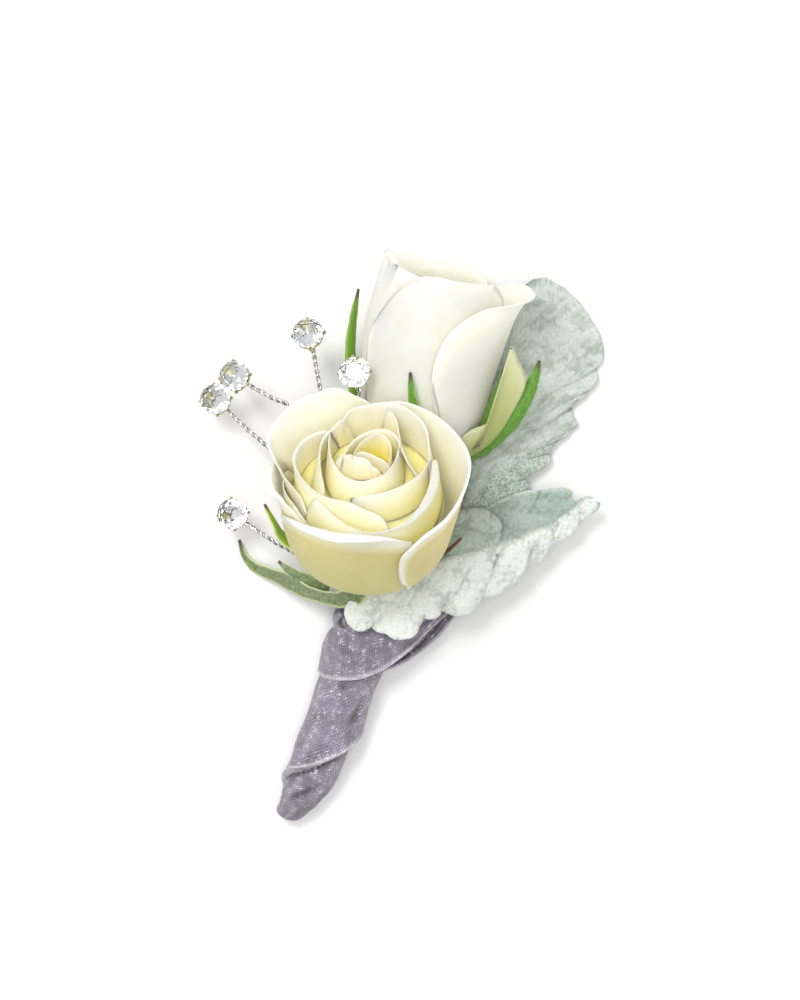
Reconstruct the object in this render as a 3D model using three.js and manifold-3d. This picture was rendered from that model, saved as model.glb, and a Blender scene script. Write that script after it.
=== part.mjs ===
// A boutonniere lying on the table: an open white spray rose, a half-open bud, three felted silver
// leaves, five crystals on twisted wires and a handle wound with ribbon.
// Millimetres, +Z up. The handle's tip points to -Y and the bud's mouth to +Y. The table is z = 0.
import * as THREE from "three";
import { mergeVertices } from "three/addons/utils/BufferGeometryUtils.js";
import Module from "manifold-3d";

const wasm = await Module();
wasm.setup();

// Driving dimensions
const PETAL_THICK = 0.7;
const LEAF_THICK = 0.9;
const SEPAL_THICK = 0.7;
const ROSE_BASE = [-0.66, -3, 20.6];
const ROSE_AZIMUTH = 106;
const ROSE_TILT = 36;
const BUD_BASE = [3.47, 15.95, 8.75];
const BUD_AZIMUTH = 96.25;
const BUD_TILT = 74;
const HIP_GAP = 0.9;
const STEM_RADIUS = 1.45;
const STALK_RADIUS = 0.9;
const CRYSTAL_RADIUS = 3.4;
const STONE_SIDES = 8;
const CLAW = 0.45;
const CLAW_WIDTH = 0.8;
const CLAW_COUNT = 4;
const FIT_GAP = 0.3;
const WIRE_RADIUS = 0.55;
const TRUNK_RADIUS = 0.7;
const WIRE_PITCH = 5.6;
const WIRE_ROOM = 0.9;
const WRAP_PITCH = 17.5;
const WRAP_STEP = 0.8;
const RIBBON_WALL = 1;
const RIBBON_TURN_THICK = 0.9;
const TABLE = 0;

const rad = THREE.MathUtils.degToRad;
const mix = THREE.MathUtils.lerp;
const smooth = THREE.MathUtils.smoothstep;
const vec = (p) => new THREE.Vector3(...p);
const path = (points) => new THREE.CatmullRomCurve3(points.map(vec));

// Smooth value at t (0 to 1) through evenly spaced values
function through(values, t) {
  const last = values.length - 1;
  const at = Math.min(t * last, last - 1e-9);
  const i = Math.floor(at);
  const f = at - i;
  const b = values[i];
  const c = values[i + 1];
  const a = values[i - 1] ?? 2 * b - c;
  const d = values[i + 2] ?? 2 * c - b;
  return b + 0.5 * f * (c - a + f * (2 * a - 5 * b + 4 * c - d + f * (3 * (b - c) + d - a)));
}

// Closed mesh from points and triangles
function mesh3(points, faces) {
  const geometry = new THREE.BufferGeometry();
  const flat = points.flatMap((p) => [p.x, p.y, p.z]);
  geometry.setAttribute("position", new THREE.Float32BufferAttribute(flat, 3));
  geometry.setIndex(faces.flat());
  return geometry;
}

// Thin curved blade: the surface at(u, v) given a thickness, cut into the same triangles on both faces
function blade(across, along, thick, at) {
  const grid = [];
  for (let j = 0; j <= along; j++) {
    for (let i = 0; i <= across; i++) {
      grid.push(at(i / across, j / along));
    }
  }
  const wide = across + 1;
  const id = (i, j) => j * wide + i;
  const front = [];
  const back = [];
  for (let j = 0; j <= along; j++) {
    for (let i = 0; i <= across; i++) {
      const du = grid[id(Math.min(i + 1, across), j)].clone().sub(grid[id(Math.max(i - 1, 0), j)]);
      const dv = grid[id(i, Math.min(j + 1, along))].clone().sub(grid[id(i, Math.max(j - 1, 0))]);
      const half = du.cross(dv).normalize().multiplyScalar(thick / 2);
      front.push(grid[id(i, j)].clone().add(half));
      back.push(grid[id(i, j)].clone().sub(half));
    }
  }
  const under = front.length;
  const faces = [];
  for (let j = 0; j < along; j++) {
    for (let i = 0; i < across; i++) {
      const quad = [id(i, j), id(i + 1, j), id(i + 1, j + 1), id(i, j + 1)];
      faces.push([quad[0], quad[1], quad[2]], [quad[0], quad[2], quad[3]]);
      faces.push([quad[2] + under, quad[1] + under, quad[0] + under]);
      faces.push([quad[3] + under, quad[2] + under, quad[0] + under]);
    }
  }
  const rim = [];
  for (let i = 0; i < across; i++) rim.push([id(i, 0), id(i + 1, 0)], [id(i + 1, along), id(i, along)]);
  for (let j = 0; j < along; j++) rim.push([id(across, j), id(across, j + 1)], [id(0, j + 1), id(0, j)]);
  for (const [a, b] of rim) faces.push([b, a, a + under], [b, a + under, b + under]);
  return mesh3([...front, ...back], faces);
}

// Closed skin over rings of points, capped at both ends
function skin(rings) {
  const count = rings[0].length;
  const points = rings.flat();
  const faces = [];
  for (let j = 0; j < rings.length - 1; j++) {
    const a = j * count;
    const b = a + count;
    for (let i = 0; i < count; i++) {
      const k = (i + 1) % count;
      faces.push([a + i, a + k, b + k], [a + i, b + k, b + i]);
    }
  }
  const middle = (ring) => ring.reduce((sum, p) => sum.add(p), new THREE.Vector3()).divideScalar(count);
  const first = points.push(middle(rings[0])) - 1;
  const last = points.push(middle(rings.at(-1))) - 1;
  const top = (rings.length - 1) * count;
  for (let i = 0; i < count; i++) {
    const k = (i + 1) % count;
    faces.push([first, k, i], [last, top + i, top + k]);
  }
  return mesh3(points, faces);
}

// Round rod along a path
function rod(points, radius, steps, sides = 6) {
  const section = new THREE.Shape();
  for (let i = 0; i < sides; i++) {
    const a = (2 * Math.PI * i) / sides;
    const corner = [radius * Math.cos(a), radius * Math.sin(a)];
    if (i === 0) section.moveTo(...corner);
    else section.lineTo(...corner);
  }
  return new THREE.ExtrudeGeometry(section, { steps, bevelEnabled: false, extrudePath: path(points) });
}

// Exact solid of a closed mesh
function solid(geometry) {
  const bare = geometry.clone();
  bare.deleteAttribute("uv");
  bare.deleteAttribute("normal");
  const joined = mergeVertices(bare, 1e-4);
  const vertProperties = new Float32Array(joined.attributes.position.array);
  const triVerts = new Uint32Array(joined.index.array);
  return new wasm.Manifold(new wasm.Mesh({ numProp: 3, vertProperties, triVerts }));
}

// Union of closed meshes, flat where it meets the table, without sealed hollows or loose scraps
function fuse(geometries) {
  const whole = geometries.map(solid).reduce((sum, next) => sum.add(next));
  const slab = solid(new THREE.BoxGeometry(300, 300, 100).translate(0, 0, TABLE - 50));
  const bodies = whole.subtract(slab).decompose();
  bodies.sort((a, b) => b.volume() - a.volume());
  const kept = bodies[0].getMesh();
  const geometry = new THREE.BufferGeometry();
  geometry.setAttribute("position", new THREE.BufferAttribute(new Float32Array(kept.vertProperties), 3));
  geometry.setIndex(new THREE.BufferAttribute(new Uint32Array(kept.triVerts), 1));
  return geometry;
}

const boutonniere = new THREE.Group();

// Adds one named piece with its own material
function add(name, geometry, color, roughness, metalness = 0) {
  const material = new THREE.MeshStandardMaterial({ name, color, roughness, metalness, flatShading: true });
  const piece = new THREE.Mesh(geometry, material);
  piece.name = name;
  boutonniere.add(piece);
}

// Frame of a bloom: its axis leans from the vertical by tilt towards the azimuth
function bloomFrame(base, azimuth, tilt) {
  const a = rad(azimuth);
  const t = rad(tilt);
  const axis = new THREE.Vector3(Math.sin(t) * Math.cos(a), Math.sin(t) * Math.sin(a), Math.cos(t));
  const side = new THREE.Vector3(Math.sin(a), -Math.cos(a), 0);
  return new THREE.Matrix4().makeBasis(side, axis.clone().cross(side), axis).setPosition(...base);
}

// Point of a bloom from its radius, azimuth in degrees and height up the axis
function inBloom(frame, radius, azimuth, height) {
  const a = rad(azimuth);
  return new THREE.Vector3(radius * Math.cos(a), radius * Math.sin(a), height).applyMatrix4(frame);
}

// Petal: a patch of the cup's wall between two margins, leaning to its own rim radius and rolled outward
function petal(bloom, form) {
  return blade(form.across ?? 6, bloom.rows, PETAL_THICK, (u, s) => {
    const v = 1 - (1 - s) ** 1.4;
    const azimuth = mix(through(form.start, v), through(form.end, v), u);
    const snug = mix(form.snug[0], form.snug[1], u);
    const curl = through(form.curl, u);
    const roll = curl * smooth(v, 0.72, 1);
    const reach = through(form.rims, u) - curl - bloom.radii.at(-1) * snug;
    const radius = through(bloom.radii, v) * snug + reach * v ** 4 + roll;
    const height = through(bloom.heights, v) * (through(form.tops, u) + curl / 2) - roll / 2;
    return inBloom(bloom.frame, radius, azimuth, height);
  });
}

// Small solid heart that the petals spring from
function heart(bloom, profile) {
  const points = profile.map(([r, h]) => new THREE.Vector2(r, h));
  const turned = new THREE.LatheGeometry(points, 10).rotateX(Math.PI / 2);
  return turned.applyMatrix4(bloom.frame);
}

const OPEN_ROSE = {
  frame: bloomFrame(ROSE_BASE, ROSE_AZIMUTH, ROSE_TILT),
  heights: [0, 0.05, 0.24, 0.5, 0.78, 1],
  radii: [2.6, 11.2, 16.4, 17.8, 18.7, 19.6],
  rows: 6,
};

// Guard petals first, then each ring inward. Margin azimuths run from base to rim; tops, rims and curl
// run from one margin to the other: height and radius of the rim, and how far it rolls outward.
const OPEN_PETALS = [
  { start: [-50, -57, -64, -68, -63], end: [40, 55, 65, 70, 71], snug: [1.02, 0.9],
    tops: [27.6, 28.2, 28.5, 28.4, 27.6, 27, 26.8], rims: [20.3, 20.6, 20.6, 20.3, 20, 19.4, 18.2],
    curl: [2.6, 3.4, 3.2, 1.8, 1.2, 0.9, 0.5], across: 8 },
  { start: [105, 100, 96, 92, 90], end: [200, 212, 220, 226, 224], snug: [0.94, 0.84],
    tops: [26.5, 27.6, 28, 28, 28, 27, 24.5], rims: [15.8, 20.2, 21.4, 21.2, 20.6, 17, 14.8],
    curl: [0.5, 1, 1.2, 1.2, 1.4, 1, 0.3], across: 8 },
  { start: [-140, -150, -154, -146, -136], end: [-75, -70, -64, -60, -60], snug: [1, 0.92],
    tops: [28.2, 28.8, 28.4, 28.8, 28.4], rims: [19.6, 19.8, 19.6, 18.8, 17.8], curl: [2, 2.6, 2.4, 1.6, 1] },
  { start: [180, 175, 170, 168, 168], end: [225, 232, 234, 232, 224], snug: [0.97, 0.94],
    tops: [27, 27.6, 27.6, 27, 25.5], rims: [20.6, 21.1, 21.2, 21, 20.6], curl: [1.2, 2, 2.6, 2.8, 2.4] },
  { start: [50, 48, 50, 54, 56], end: [110, 112, 110, 106, 104], snug: [0.97, 0.97],
    tops: [26, 27.2, 27.2, 26], rims: [18.6, 19.5, 19.5, 18.2], curl: [0.6, 0.9, 0.9, 0.6] },
  { start: [10, 5, 0, -2, 0], end: [80, 90, 96, 100, 100], snug: [0.76, 0.82],
    tops: [26, 27.8, 28.2, 28, 27.4], rims: [12.8, 15, 16.6, 17.2, 15.6], curl: [0.6, 0.8, 0.8, 0.7, 0.5] },
  { start: [225, 218, 212, 209, 210], end: [345, 352, 360, 366, 366], snug: [0.84, 0.78],
    tops: [25.5, 27.2, 28, 28, 27.8, 27.6, 26], rims: [13.6, 14.6, 15.6, 16, 16, 15.2, 13.6],
    curl: [0.5, 1, 1.2, 1.6, 2.4, 2.6, 1.4], across: 8 },
  { start: [150, 142, 136, 132, 132], end: [265, 272, 280, 286, 288], snug: [0.76, 0.64],
    tops: [26.5, 27.8, 28, 28, 28, 27.3, 25.8], rims: [12.4, 14.4, 15, 13.4, 11.2, 9.6, 9.8],
    curl: [0.6, 0.8, 0.8, 0.6, 0.5, 0.4, 0.3], across: 8 },
  { start: [85, 80, 77, 75, 75], end: [150, 160, 168, 172, 170], snug: [0.66, 0.68],
    tops: [27, 28, 28.3, 28, 26], rims: [10.6, 12, 12.4, 11.8, 10.2], curl: [0.3, 0.5, 0.5, 0.4, 0.3] },
  { start: [0, -5, -10, -12, -10], end: [55, 62, 68, 72, 72], snug: [0.6, 0.7],
    tops: [25, 27, 27.8, 28, 27.5], rims: [10, 9, 9.2, 11.6, 14], curl: [0.2, 0.2, 0.2, 0.3, 0.3] },
  { start: [150, 140, 134, 130, 130], end: [350, 362, 370, 376, 376], snug: [0.54, 0.46],
    tops: [27, 28.3, 28.6, 28.6, 28.6, 28.2, 27], rims: [10.6, 7.8, 5.8, 4.5, 3.9, 4.2, 5],
    curl: [0.3, 0.3], across: 8 },
  { start: [30, 24, 20, 18, 18], end: [120, 130, 138, 142, 142], snug: [0.44, 0.48],
    tops: [26, 27.6, 28, 27.8, 26.5], rims: [6.2, 9.2, 10, 9, 6.1], curl: [0.2, 0.2], across: 5 },
  { start: [140, 130, 124, 120, 122], end: [240, 250, 258, 262, 260], snug: [0.36, 0.34],
    tops: [27, 28.2, 28.3, 28, 26.5], rims: [5.1, 3.7, 2.6, 2.2, 2.3], curl: [0.1, 0.1], across: 5 },
  { start: [-50, -55, -60, -62, -60], end: [60, 70, 76, 80, 80], snug: [0.3, 0.34],
    tops: [26.5, 27.5, 27.8, 27.5, 26], rims: [2, 2.8, 3.5, 4.5, 4.7], curl: [0.1, 0.1], across: 5 },
  { start: [50, 44, 40, 38, 40], end: [170, 180, 186, 190, 190], snug: [0.22, 0.2],
    tops: [26.8, 27.5, 27.4, 26.6], rims: [3.4, 3.3, 2.5, 1.3], curl: [0, 0], across: 5 },
];

function openRose() {
  const core = heart(OPEN_ROSE, [[0, -0.3], [3.4, -0.3], [5.4, 2], [4.4, 9], [3, 16], [1.2, 23], [0, 24.5]]);
  return fuse([core, ...OPEN_PETALS.map((form) => petal(OPEN_ROSE, form))]);
}

const BUD = {
  frame: bloomFrame(BUD_BASE, BUD_AZIMUTH, BUD_TILT),
  heights: [0, 0.11, 0.27, 0.5, 0.75, 1],
  radii: [2.4, 8.4, 12.9, 14, 14.9, 14],
  rows: 5,
};

// Big right petal, big front petal, left petal with the double tip, back petal, the small petal that
// stands off, then the inner ones
const BUD_PETALS = [
  { start: [-50, -52, -56, -65, -83, -85], end: [30, 42, 50, 55, 56, 54], snug: [1.02, 0.96],
    tops: [27.5, 36.3, 39, 39.5, 40.4, 42, 42, 41, 37],
    rims: [14.9, 15.4, 15.8, 16.2, 17.4, 18.2, 16.8, 15.4, 14.4], curl: [0.2, 0.5, 0.5, 0.5, 0.3],
    across: 10 },
  { start: [-135, -142, -148, -150, -148, -134], end: [-60, -50, -40, -32, -28, -28], snug: [1, 0.93],
    tops: [37, 43, 43.4, 43.1, 43.1, 43.3, 43], rims: [14.4, 12, 11, 11.4, 12, 12.8, 13.2],
    curl: [0.2, 0.3, 0.3, 0.2], across: 8 },
  { start: [155, 150, 146, 145, 148, 152], end: [215, 222, 228, 232, 232, 230], snug: [1.02, 0.94],
    tops: [38, 42.5, 45.2, 43.4, 43.6, 41], rims: [14, 12.8, 12.2, 12.4, 11.6, 12.6], curl: [0.2, 0.3, 0.2] },
  { start: [30, 24, 20, 18, 20, 26], end: [150, 156, 160, 164, 164, 160], snug: [1.01, 1.01],
    tops: [38, 41.2, 42.8, 43.5, 43.4, 40], rims: [14.2, 13, 12, 11.6, 11.2, 11.6], curl: [0.3, 0.3, 0.3] },
  { start: [-60, -55, -44, -22, -17, -22], end: [15, 15, 12, 8, 0, -12], snug: [1.1, 1.34],
    tops: [29, 31.3, 29.6, 26.5], rims: [17.2, 17.8, 19, 19.8], curl: [0, 0] },
  { start: [-160, -163, -166, -166, -163], end: [-15, -8, -2, 0, 0], snug: [0.8, 0.76],
    tops: [42, 43.6, 42.8, 41.5, 39], rims: [11, 10.2, 8.8, 9, 9.6], curl: [0, 0] },
  { start: [0, -5, -10, -10, -5], end: [130, 140, 148, 150, 146], snug: [0.7, 0.74],
    tops: [39, 41.8, 42.2, 41.5, 39], rims: [8.6, 9.2, 9.2, 8.6, 8], curl: [0, 0] },
  { start: [120, 114, 110, 110, 114], end: [260, 270, 276, 276, 270], snug: [0.58, 0.54],
    tops: [39, 41, 41.4, 41, 39], rims: [5.6, 5.4, 5.2, 5, 4.6], curl: [0, 0] },
  { start: [-90, -95, -98, -98, -94], end: [70, 76, 80, 80, 76], snug: [0.42, 0.44],
    tops: [38, 40, 40.4, 40, 38], rims: [3.4, 3.6, 3.8, 3.8, 3.4], curl: [0, 0] },
];

function budPetals() {
  const core = heart(BUD, [[0, -0.3], [3.4, -0.3], [5.6, 3], [6.4, 14], [4, 26], [1.4, 36], [0, 37.5]]);
  return fuse([core, ...BUD_PETALS.map((form) => petal(BUD, form))]);
}

// Sepal: a narrow keeled blade along a path, its flat side facing away from the bloom's axis
function sepal(points, faces, widths, keel, steps) {
  const line = path(points);
  const out = path(faces);
  return blade(2, steps, SEPAL_THICK, (u, v) => {
    const across = 2 * u - 1;
    const facing = out.getPoint(v).normalize();
    const side = line.getTangent(v).cross(facing).normalize();
    const half = through(widths, v) / 2;
    const centre = line.getPoint(v);
    return centre.addScaledVector(side, across * half).addScaledVector(facing, -keel * half * across ** 2);
  });
}

// Sepal given by radius, azimuth and height in the bloom's own frame
function bloomSepal(bloom, stations, widths) {
  const points = stations.map(([r, a, h]) => inBloom(bloom.frame, r, a, h).toArray());
  const origin = new THREE.Vector3().setFromMatrixPosition(bloom.frame);
  const faces = stations.map(([, a, h], i) => {
    const below = i < 2 ? -2 : -0.25;
    return inBloom(bloom.frame, 1, a, below).sub(origin).toArray();
  });
  return sepal(points, faces, widths, -0.35, stations.length + 3);
}

// Green hip under a bloom, turned round the bloom's axis
function hip(bloom, top, length) {
  return heart(bloom, [[0, -length], [STEM_RADIUS, -length], [1.9, -top - 5.6], [3.3, -top - 3.4],
    [3.7, -top - 1.4], [3, -top], [0, -top]]);
}

function roseCalyx() {
  const stem = rod([[0.3, -6.4, 15.7], [1.1, -9.4, 11], [1.8, -13.4, 8.4], [2.2, -19, 6.9], [0.9, -27.4, 6],
    [0.4, -35.2, 5.9], [0, -43, 5.8], [-0.1, -47.5, 5.6]], STEM_RADIUS, 12);
  const long = sepal([[0.1, -5, 18.7], [0.8, -9.4, 18.6], [-1, -12.8, 18.2], [-4, -14.2, 16.2],
    [-10, -14.7, 11], [-17, -13.7, 5.6], [-23.3, -13, 0.3], [-25.6, -11.5, 0.2], [-27.5, -8.7, 1.4]],
    [[-0.6, -0.7, 0.2], [-0.5, -0.8, 0.5], [0.1, -0.8, 0.8], [0.2, -0.7, 1], [0.1, -0.6, 1], [0, -0.5, 1]],
    [2.6, 4, 4.8, 4.8, 4.8, 4.4, 2.4, 1.4, 0.7], 0.5, 14);
  const twig = sepal([[-6.2, -13.8, 13.2], [-10.6, -13, 12.2], [-14.6, -12.2, 11.8], [-18, -10.6, 11.2]],
    [[0.2, -0.6, 1], [0.2, -0.6, 1]], [2.4, 2.8, 2, 0.7], 0.5, 6);
  const left = bloomSepal(OPEN_ROSE, [[2.6, 184, -1.6], [8, 182, -0.6], [13.6, 180, 1.6], [17.6, 178, 4.8],
    [19.4, 175, 8.2], [21.4, 171, 11.4]], [2.4, 4, 4.2, 3.6, 2.2, 0.7]);
  const right = bloomSepal(OPEN_ROSE, [[2.6, -26, -1.6], [8, -20, -0.9], [13.4, -11, 0.4], [16.4, -5, 1.8],
    [19.4, 1, 3.8]], [2.2, 3.2, 2.6, 1.6, 0.7]);
  const hidden = [44, -62].map((a) => bloomSepal(OPEN_ROSE, [[2.6, a, -1.6], [7, a, -1], [11, a, 0.4]],
    [2.4, 3.2, 0.8]));
  return fuse([hip(OPEN_ROSE, HIP_GAP, 8), stem, long, twig, left, right, ...hidden]);
}

function budCalyx() {
  const stem = rod([[4.2, 9, 7.5], [5.2, 4.5, 7], [7.2, -4, 6.9], [7.8, -12, 7], [6.4, -20, 6.6],
    [4.9, -27.4, 6], [4.6, -35.2, 5.9], [4.3, -43, 5.8], [4, -47.5, 5.6]], STEM_RADIUS, 12);
  const left = bloomSepal(BUD, [[2.6, 150, -1.6], [7, 155, -0.6], [11.4, 158, 5], [14.9, 157, 11.2],
    [17.4, 156, 19.1], [18.7, 156, 24.3], [18.6, 158, 29.9], [18.4, 160, 34.6]],
    [2.4, 3.4, 3.6, 3.6, 3.4, 2.8, 2, 0.7]);
  const front = bloomSepal(BUD, [[2.6, -80, -1.6], [6.4, -82, -0.8], [9.6, -83, 4.4], [12.1, -86, 8.6],
    [14.2, -90, 12.9], [15, -95, 16.3], [15.6, -100, 20.3], [16.4, -103, 24.4]],
    [2.4, 3, 3, 3, 2.7, 2.2, 1.6, 0.7]);
  const right = bloomSepal(BUD, [[2.6, 10, -1.6], [6.4, 8, -1], [10.2, 4, 1], [14.6, -1, 4.6], [18.2, -3, 9],
    [20.9, -4, 14.6], [22.4, -3, 22.5], [22.7, -2, 27.9]], [2.4, 3.6, 4.6, 5, 5, 4, 2.4, 0.7]);
  const hidden = [66, 112].map((a) => bloomSepal(BUD, [[2.6, a, -1.6], [5, a, -1.4], [7.6, a, -0.8]],
    [2.4, 2.8, 0.8]));
  return fuse([hip(BUD, HIP_GAP, 8), stem, left, front, right, ...hidden]);
}

// Leaf blade between its two margins over a midrib, with vein furrows, and the stalk that carries it
function leaf(form) {
  const left = path(form.left);
  const mid = path(form.mid);
  const right = path(form.right);
  const flesh = blade(form.across, form.along, LEAF_THICK, (u, v) => {
    const across = 2 * u - 1;
    const edge = (across < 0 ? left : right).getPoint(v);
    const t = Math.abs(across);
    const point = mid.getPoint(v).lerp(edge, t);
    const swell = form.belly[across < 0 ? 0 : 1];
    const belly = Math.sin(Math.PI * t) * swell * Math.sin(Math.PI * v);
    const vein = form.vein * t * (1 - 0.5 * t) * Math.cos(2 * Math.PI * (form.veins * v - 0.8 * t));
    point.z += belly + vein;
    return point;
  });
  return fuse([flesh, rod(form.stalk, STALK_RADIUS, 10)]);
}

const UPPER_LEAF = {
  across: 6, along: 20, veins: 5, vein: 0.35, belly: [0.4, 0.8],
  mid: [[17, -1.8, 6], [19, 8.8, 5], [21, 22.2, 4], [23.4, 33.9, 3.6], [25, 45.4, 4], [24.9, 55.1, 5],
    [22, 61.6, 5]],
  left: [[15.2, -0.2, 6], [15.6, 10, 4.2], [18.4, 22.5, 3], [18.6, 33.5, 2.6], [16.4, 45, 2.6],
    [14.4, 54.9, 4], [16.8, 60.5, 5], [20.6, 62.2, 5]],
  right: [[18.2, -1.8, 6], [22, 12.3, 4], [28, 17.2, 2.4], [29.2, 20.8, 2.2], [30.6, 26.6, 1.8],
    [34, 31.8, 1], [34.2, 36, 1], [36.8, 42, 1.2], [36.2, 48.2, 0.2], [34.4, 53.6, 0.6], [29.8, 59, 2.6],
    [23.3, 62.1, 4.6]],
  stalk: [[16.6, 0.6, 6.1], [15, -6, 6], [12, -12.5, 5], [8, -19.4, 3.9], [4.8, -24.6, 3.4],
    [3.4, -29, 3.2]],
};

const LOWER_LEAF = {
  across: 4, along: 36, veins: 6, vein: 0.4, belly: [-2.2, 1.2],
  mid: [[4.9, -10.2, 15.2], [9.4, -7.8, 16.4], [13.5, -4.2, 17], [17.3, -0.5, 17], [22.1, 2.4, 17],
    [28.7, 8.2, 16], [33.5, 11.9, 14], [38, 17.1, 11], [42.2, 20.2, 9]],
  left: [[4, -9.8, 14.6], [7.4, -4.4, 12.4], [12.2, 0.6, 10], [17.2, 5, 8.6], [21.8, 11, 8], [26, 15.9, 8.4],
    [29.6, 18.8, 9], [33.4, 20.6, 9.4], [36.8, 20.4, 9.4], [41.6, 20.9, 9]],
  right: [[3.4, -11, 15], [0.9, -12.8, 14.4], [-1.1, -15.8, 14.4], [-0.2, -18.2, 14.8], [4.6, -18.9, 15.7],
    [11.2, -18.6, 15], [11.9, -14.2, 15], [10.2, -12.1, 15], [16, -12, 14], [22.4, -7.4, 11.6],
    [20.2, -4.3, 11.4], [25.6, -2.8, 10.4], [29.7, 0.5, 9], [28.6, 2.4, 9], [33.1, 5, 8.2],
    [32.6, 7.5, 8.2], [39.4, 13.6, 8], [40.5, 15.9, 8], [43.3, 19.7, 8.4]],
  stalk: [[7.2, -9, 15.4], [6.7, -11.2, 12.8], [6.2, -14.2, 10.5], [5.9, -18.6, 9.5], [5.7, -22.4, 9.2],
    [5.2, -27.4, 8.8]],
};

const SMALL_LEAF = {
  across: 6, along: 8, veins: 2, vein: 0.2, belly: [0.5, 0.5],
  mid: [[11.4, 2.2, 14.6], [14.9, 4.4, 15.6], [19.7, 7.1, 15.8], [24.7, 9.2, 14.9]],
  left: [[10.8, 3.4, 14.2], [12.6, 8.6, 13.8], [17.4, 11, 13.6], [21.7, 11.8, 13.6], [24.3, 10, 14]],
  right: [[12, 1.2, 15.6], [15.2, 0.3, 18], [20.1, 2.2, 18.2], [23.6, 4.9, 17.3], [25, 8.2, 15.7]],
  stalk: [[12.8, 3, 14.8], [7.6, -0.6, 14], [4.6, -5.6, 12.6], [3.8, -11, 11.5], [3, -16, 10.4],
    [3, -22.4, 10.1], [3.2, -28, 9.7]],
};

// Brilliant-cut stone: flat table, crown, girdle and pointed back, turned about +Z
function stone() {
  const ring = (radius, height, turn) => Array.from({ length: STONE_SIDES }, (_, i) => {
    const a = (2 * Math.PI * (i + turn)) / STONE_SIDES;
    return new THREE.Vector3(radius * Math.cos(a), radius * Math.sin(a), height);
  });
  const r = CRYSTAL_RADIUS;
  return skin([ring(0.12 * r, -0.72 * r, 0), ring(0.6 * r, -0.34 * r, 0.5), ring(r, -0.04 * r, 0),
    ring(r, 0.06 * r, 0), ring(0.78 * r, 0.3 * r, 0.5), ring(0.5 * r, 0.44 * r, 0)]);
}

// Metal cup under the stone's pointed back, with claws that stand at the flat sides of its girdle
function cup() {
  const r = CRYSTAL_RADIUS;
  const flat = r * Math.cos(Math.PI / STONE_SIDES) + FIT_GAP;
  const profile = [[0, -0.98 * r], [0.3 * r, -0.98 * r], [r, -0.5 * r], [r, -0.38 * r], [0.82 * r, -0.38 * r],
    [0.2 * r, -0.84 * r], [0, -0.84 * r]];
  const bowl = new THREE.LatheGeometry(profile.map((p) => new THREE.Vector2(...p)), STONE_SIDES);
  const outline = [[0.85 * r, -0.5 * r], [flat + CLAW, -0.5 * r], [flat + CLAW, 0.08 * r], [flat, 0.08 * r],
    [flat, -0.38 * r], [0.85 * r, -0.38 * r]];
  const shape = new THREE.Shape(outline.map((p) => new THREE.Vector2(...p)));
  const finger = new THREE.ExtrudeGeometry(shape, { depth: CLAW_WIDTH, bevelEnabled: false });
  finger.translate(0, 0, -CLAW_WIDTH / 2).rotateX(Math.PI / 2);
  const claws = Array.from({ length: CLAW_COUNT }, (_, i) => {
    return finger.clone().rotateZ((2 * Math.PI * (i + 0.25)) / CLAW_COUNT);
  });
  return [bowl.rotateX(Math.PI / 2).rotateZ(Math.PI / 2), ...claws];
}

// Two wires twisted together: a section longer one way than the other, which turns as it goes
function twisted(points, radius = WIRE_RADIUS) {
  const line = path(points);
  const steps = Math.ceil(line.getLength() / (WIRE_PITCH / 3));
  const frames = line.computeFrenetFrames(steps);
  const rings = [];
  for (let j = 0; j <= steps; j++) {
    const ring = [];
    for (let i = 0; i < 4; i++) {
      const a = (Math.PI * i) / 2 + (j * Math.PI) / 3;
      const reach = radius * (i % 2 ? 0.8 : 1.3);
      const spoke = frames.normals[j].clone().multiplyScalar(reach * Math.cos(a));
      spoke.addScaledVector(frames.binormals[j], reach * Math.sin(a));
      ring.push(line.getPointAt(j / steps).add(spoke));
    }
    rings.push(ring);
  }
  return skin(rings);
}

// Stone centre, the way its table faces, and the wire from the cup to the spray's trunk
const SPRAY = [
  { at: [-25, 36.8, 20], face: [-0.25, 0.3, 1],
    wire: [[-19.4, 26.2, 15.6], [-15.8, 18.7, 13.6], [-9.8, 7.3, 10.8]] },
  { at: [-37.4, 24.1, 18], face: [-0.4, 0.1, 1],
    wire: [[-29.1, 22, 14.6], [-23.6, 21, 13.6], [-16.1, 13, 11.6]] },
  { at: [-40.1, 18.4, 12], face: [-0.25, 0.1, 1],
    wire: [[-31.7, 14.1, 9.4], [-26.1, 11.4, 9.8], [-16.8, 5.3, 9.4]] },
  { at: [-13.4, 31.5, 28], face: [-0.1, 0.1, 1],
    wire: [[-10.7, 26.4, 20.4], [-8.6, 19, 14.4], [-6, 8, 11]] },
  { at: [-30, -3.7, 12], face: [-0.2, 0, 1],
    wire: [[-22.6, -6.1, 10.4], [-18.4, -7.3, 9.8], [-10.6, -8.4, 8.6]] },
];
const SPRAY_FORK = [-4.6, -6.6, 8.2];

function stonePose(item) {
  const up = new THREE.Vector3(0, 0, 1);
  const turn = new THREE.Quaternion().setFromUnitVectors(up, vec(item.face).normalize());
  return new THREE.Matrix4().makeRotationFromQuaternion(turn).setPosition(...item.at);
}

function spray() {
  const branches = SPRAY.map((item) => {
    const back = new THREE.Vector3(0, 0, -CRYSTAL_RADIUS - WIRE_ROOM).applyMatrix4(stonePose(item));
    return twisted([back.toArray(), ...item.wire, SPRAY_FORK]);
  });
  const trunk = twisted([[-5.4, -5.6, 8.3], [-3.6, -8.6, 8.4], [-1.2, -14, 9], [0.9, -20.4, 9.2],
    [1.2, -27.5, 9]], TRUNK_RADIUS);
  return fuse([...branches, trunk]);
}

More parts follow.
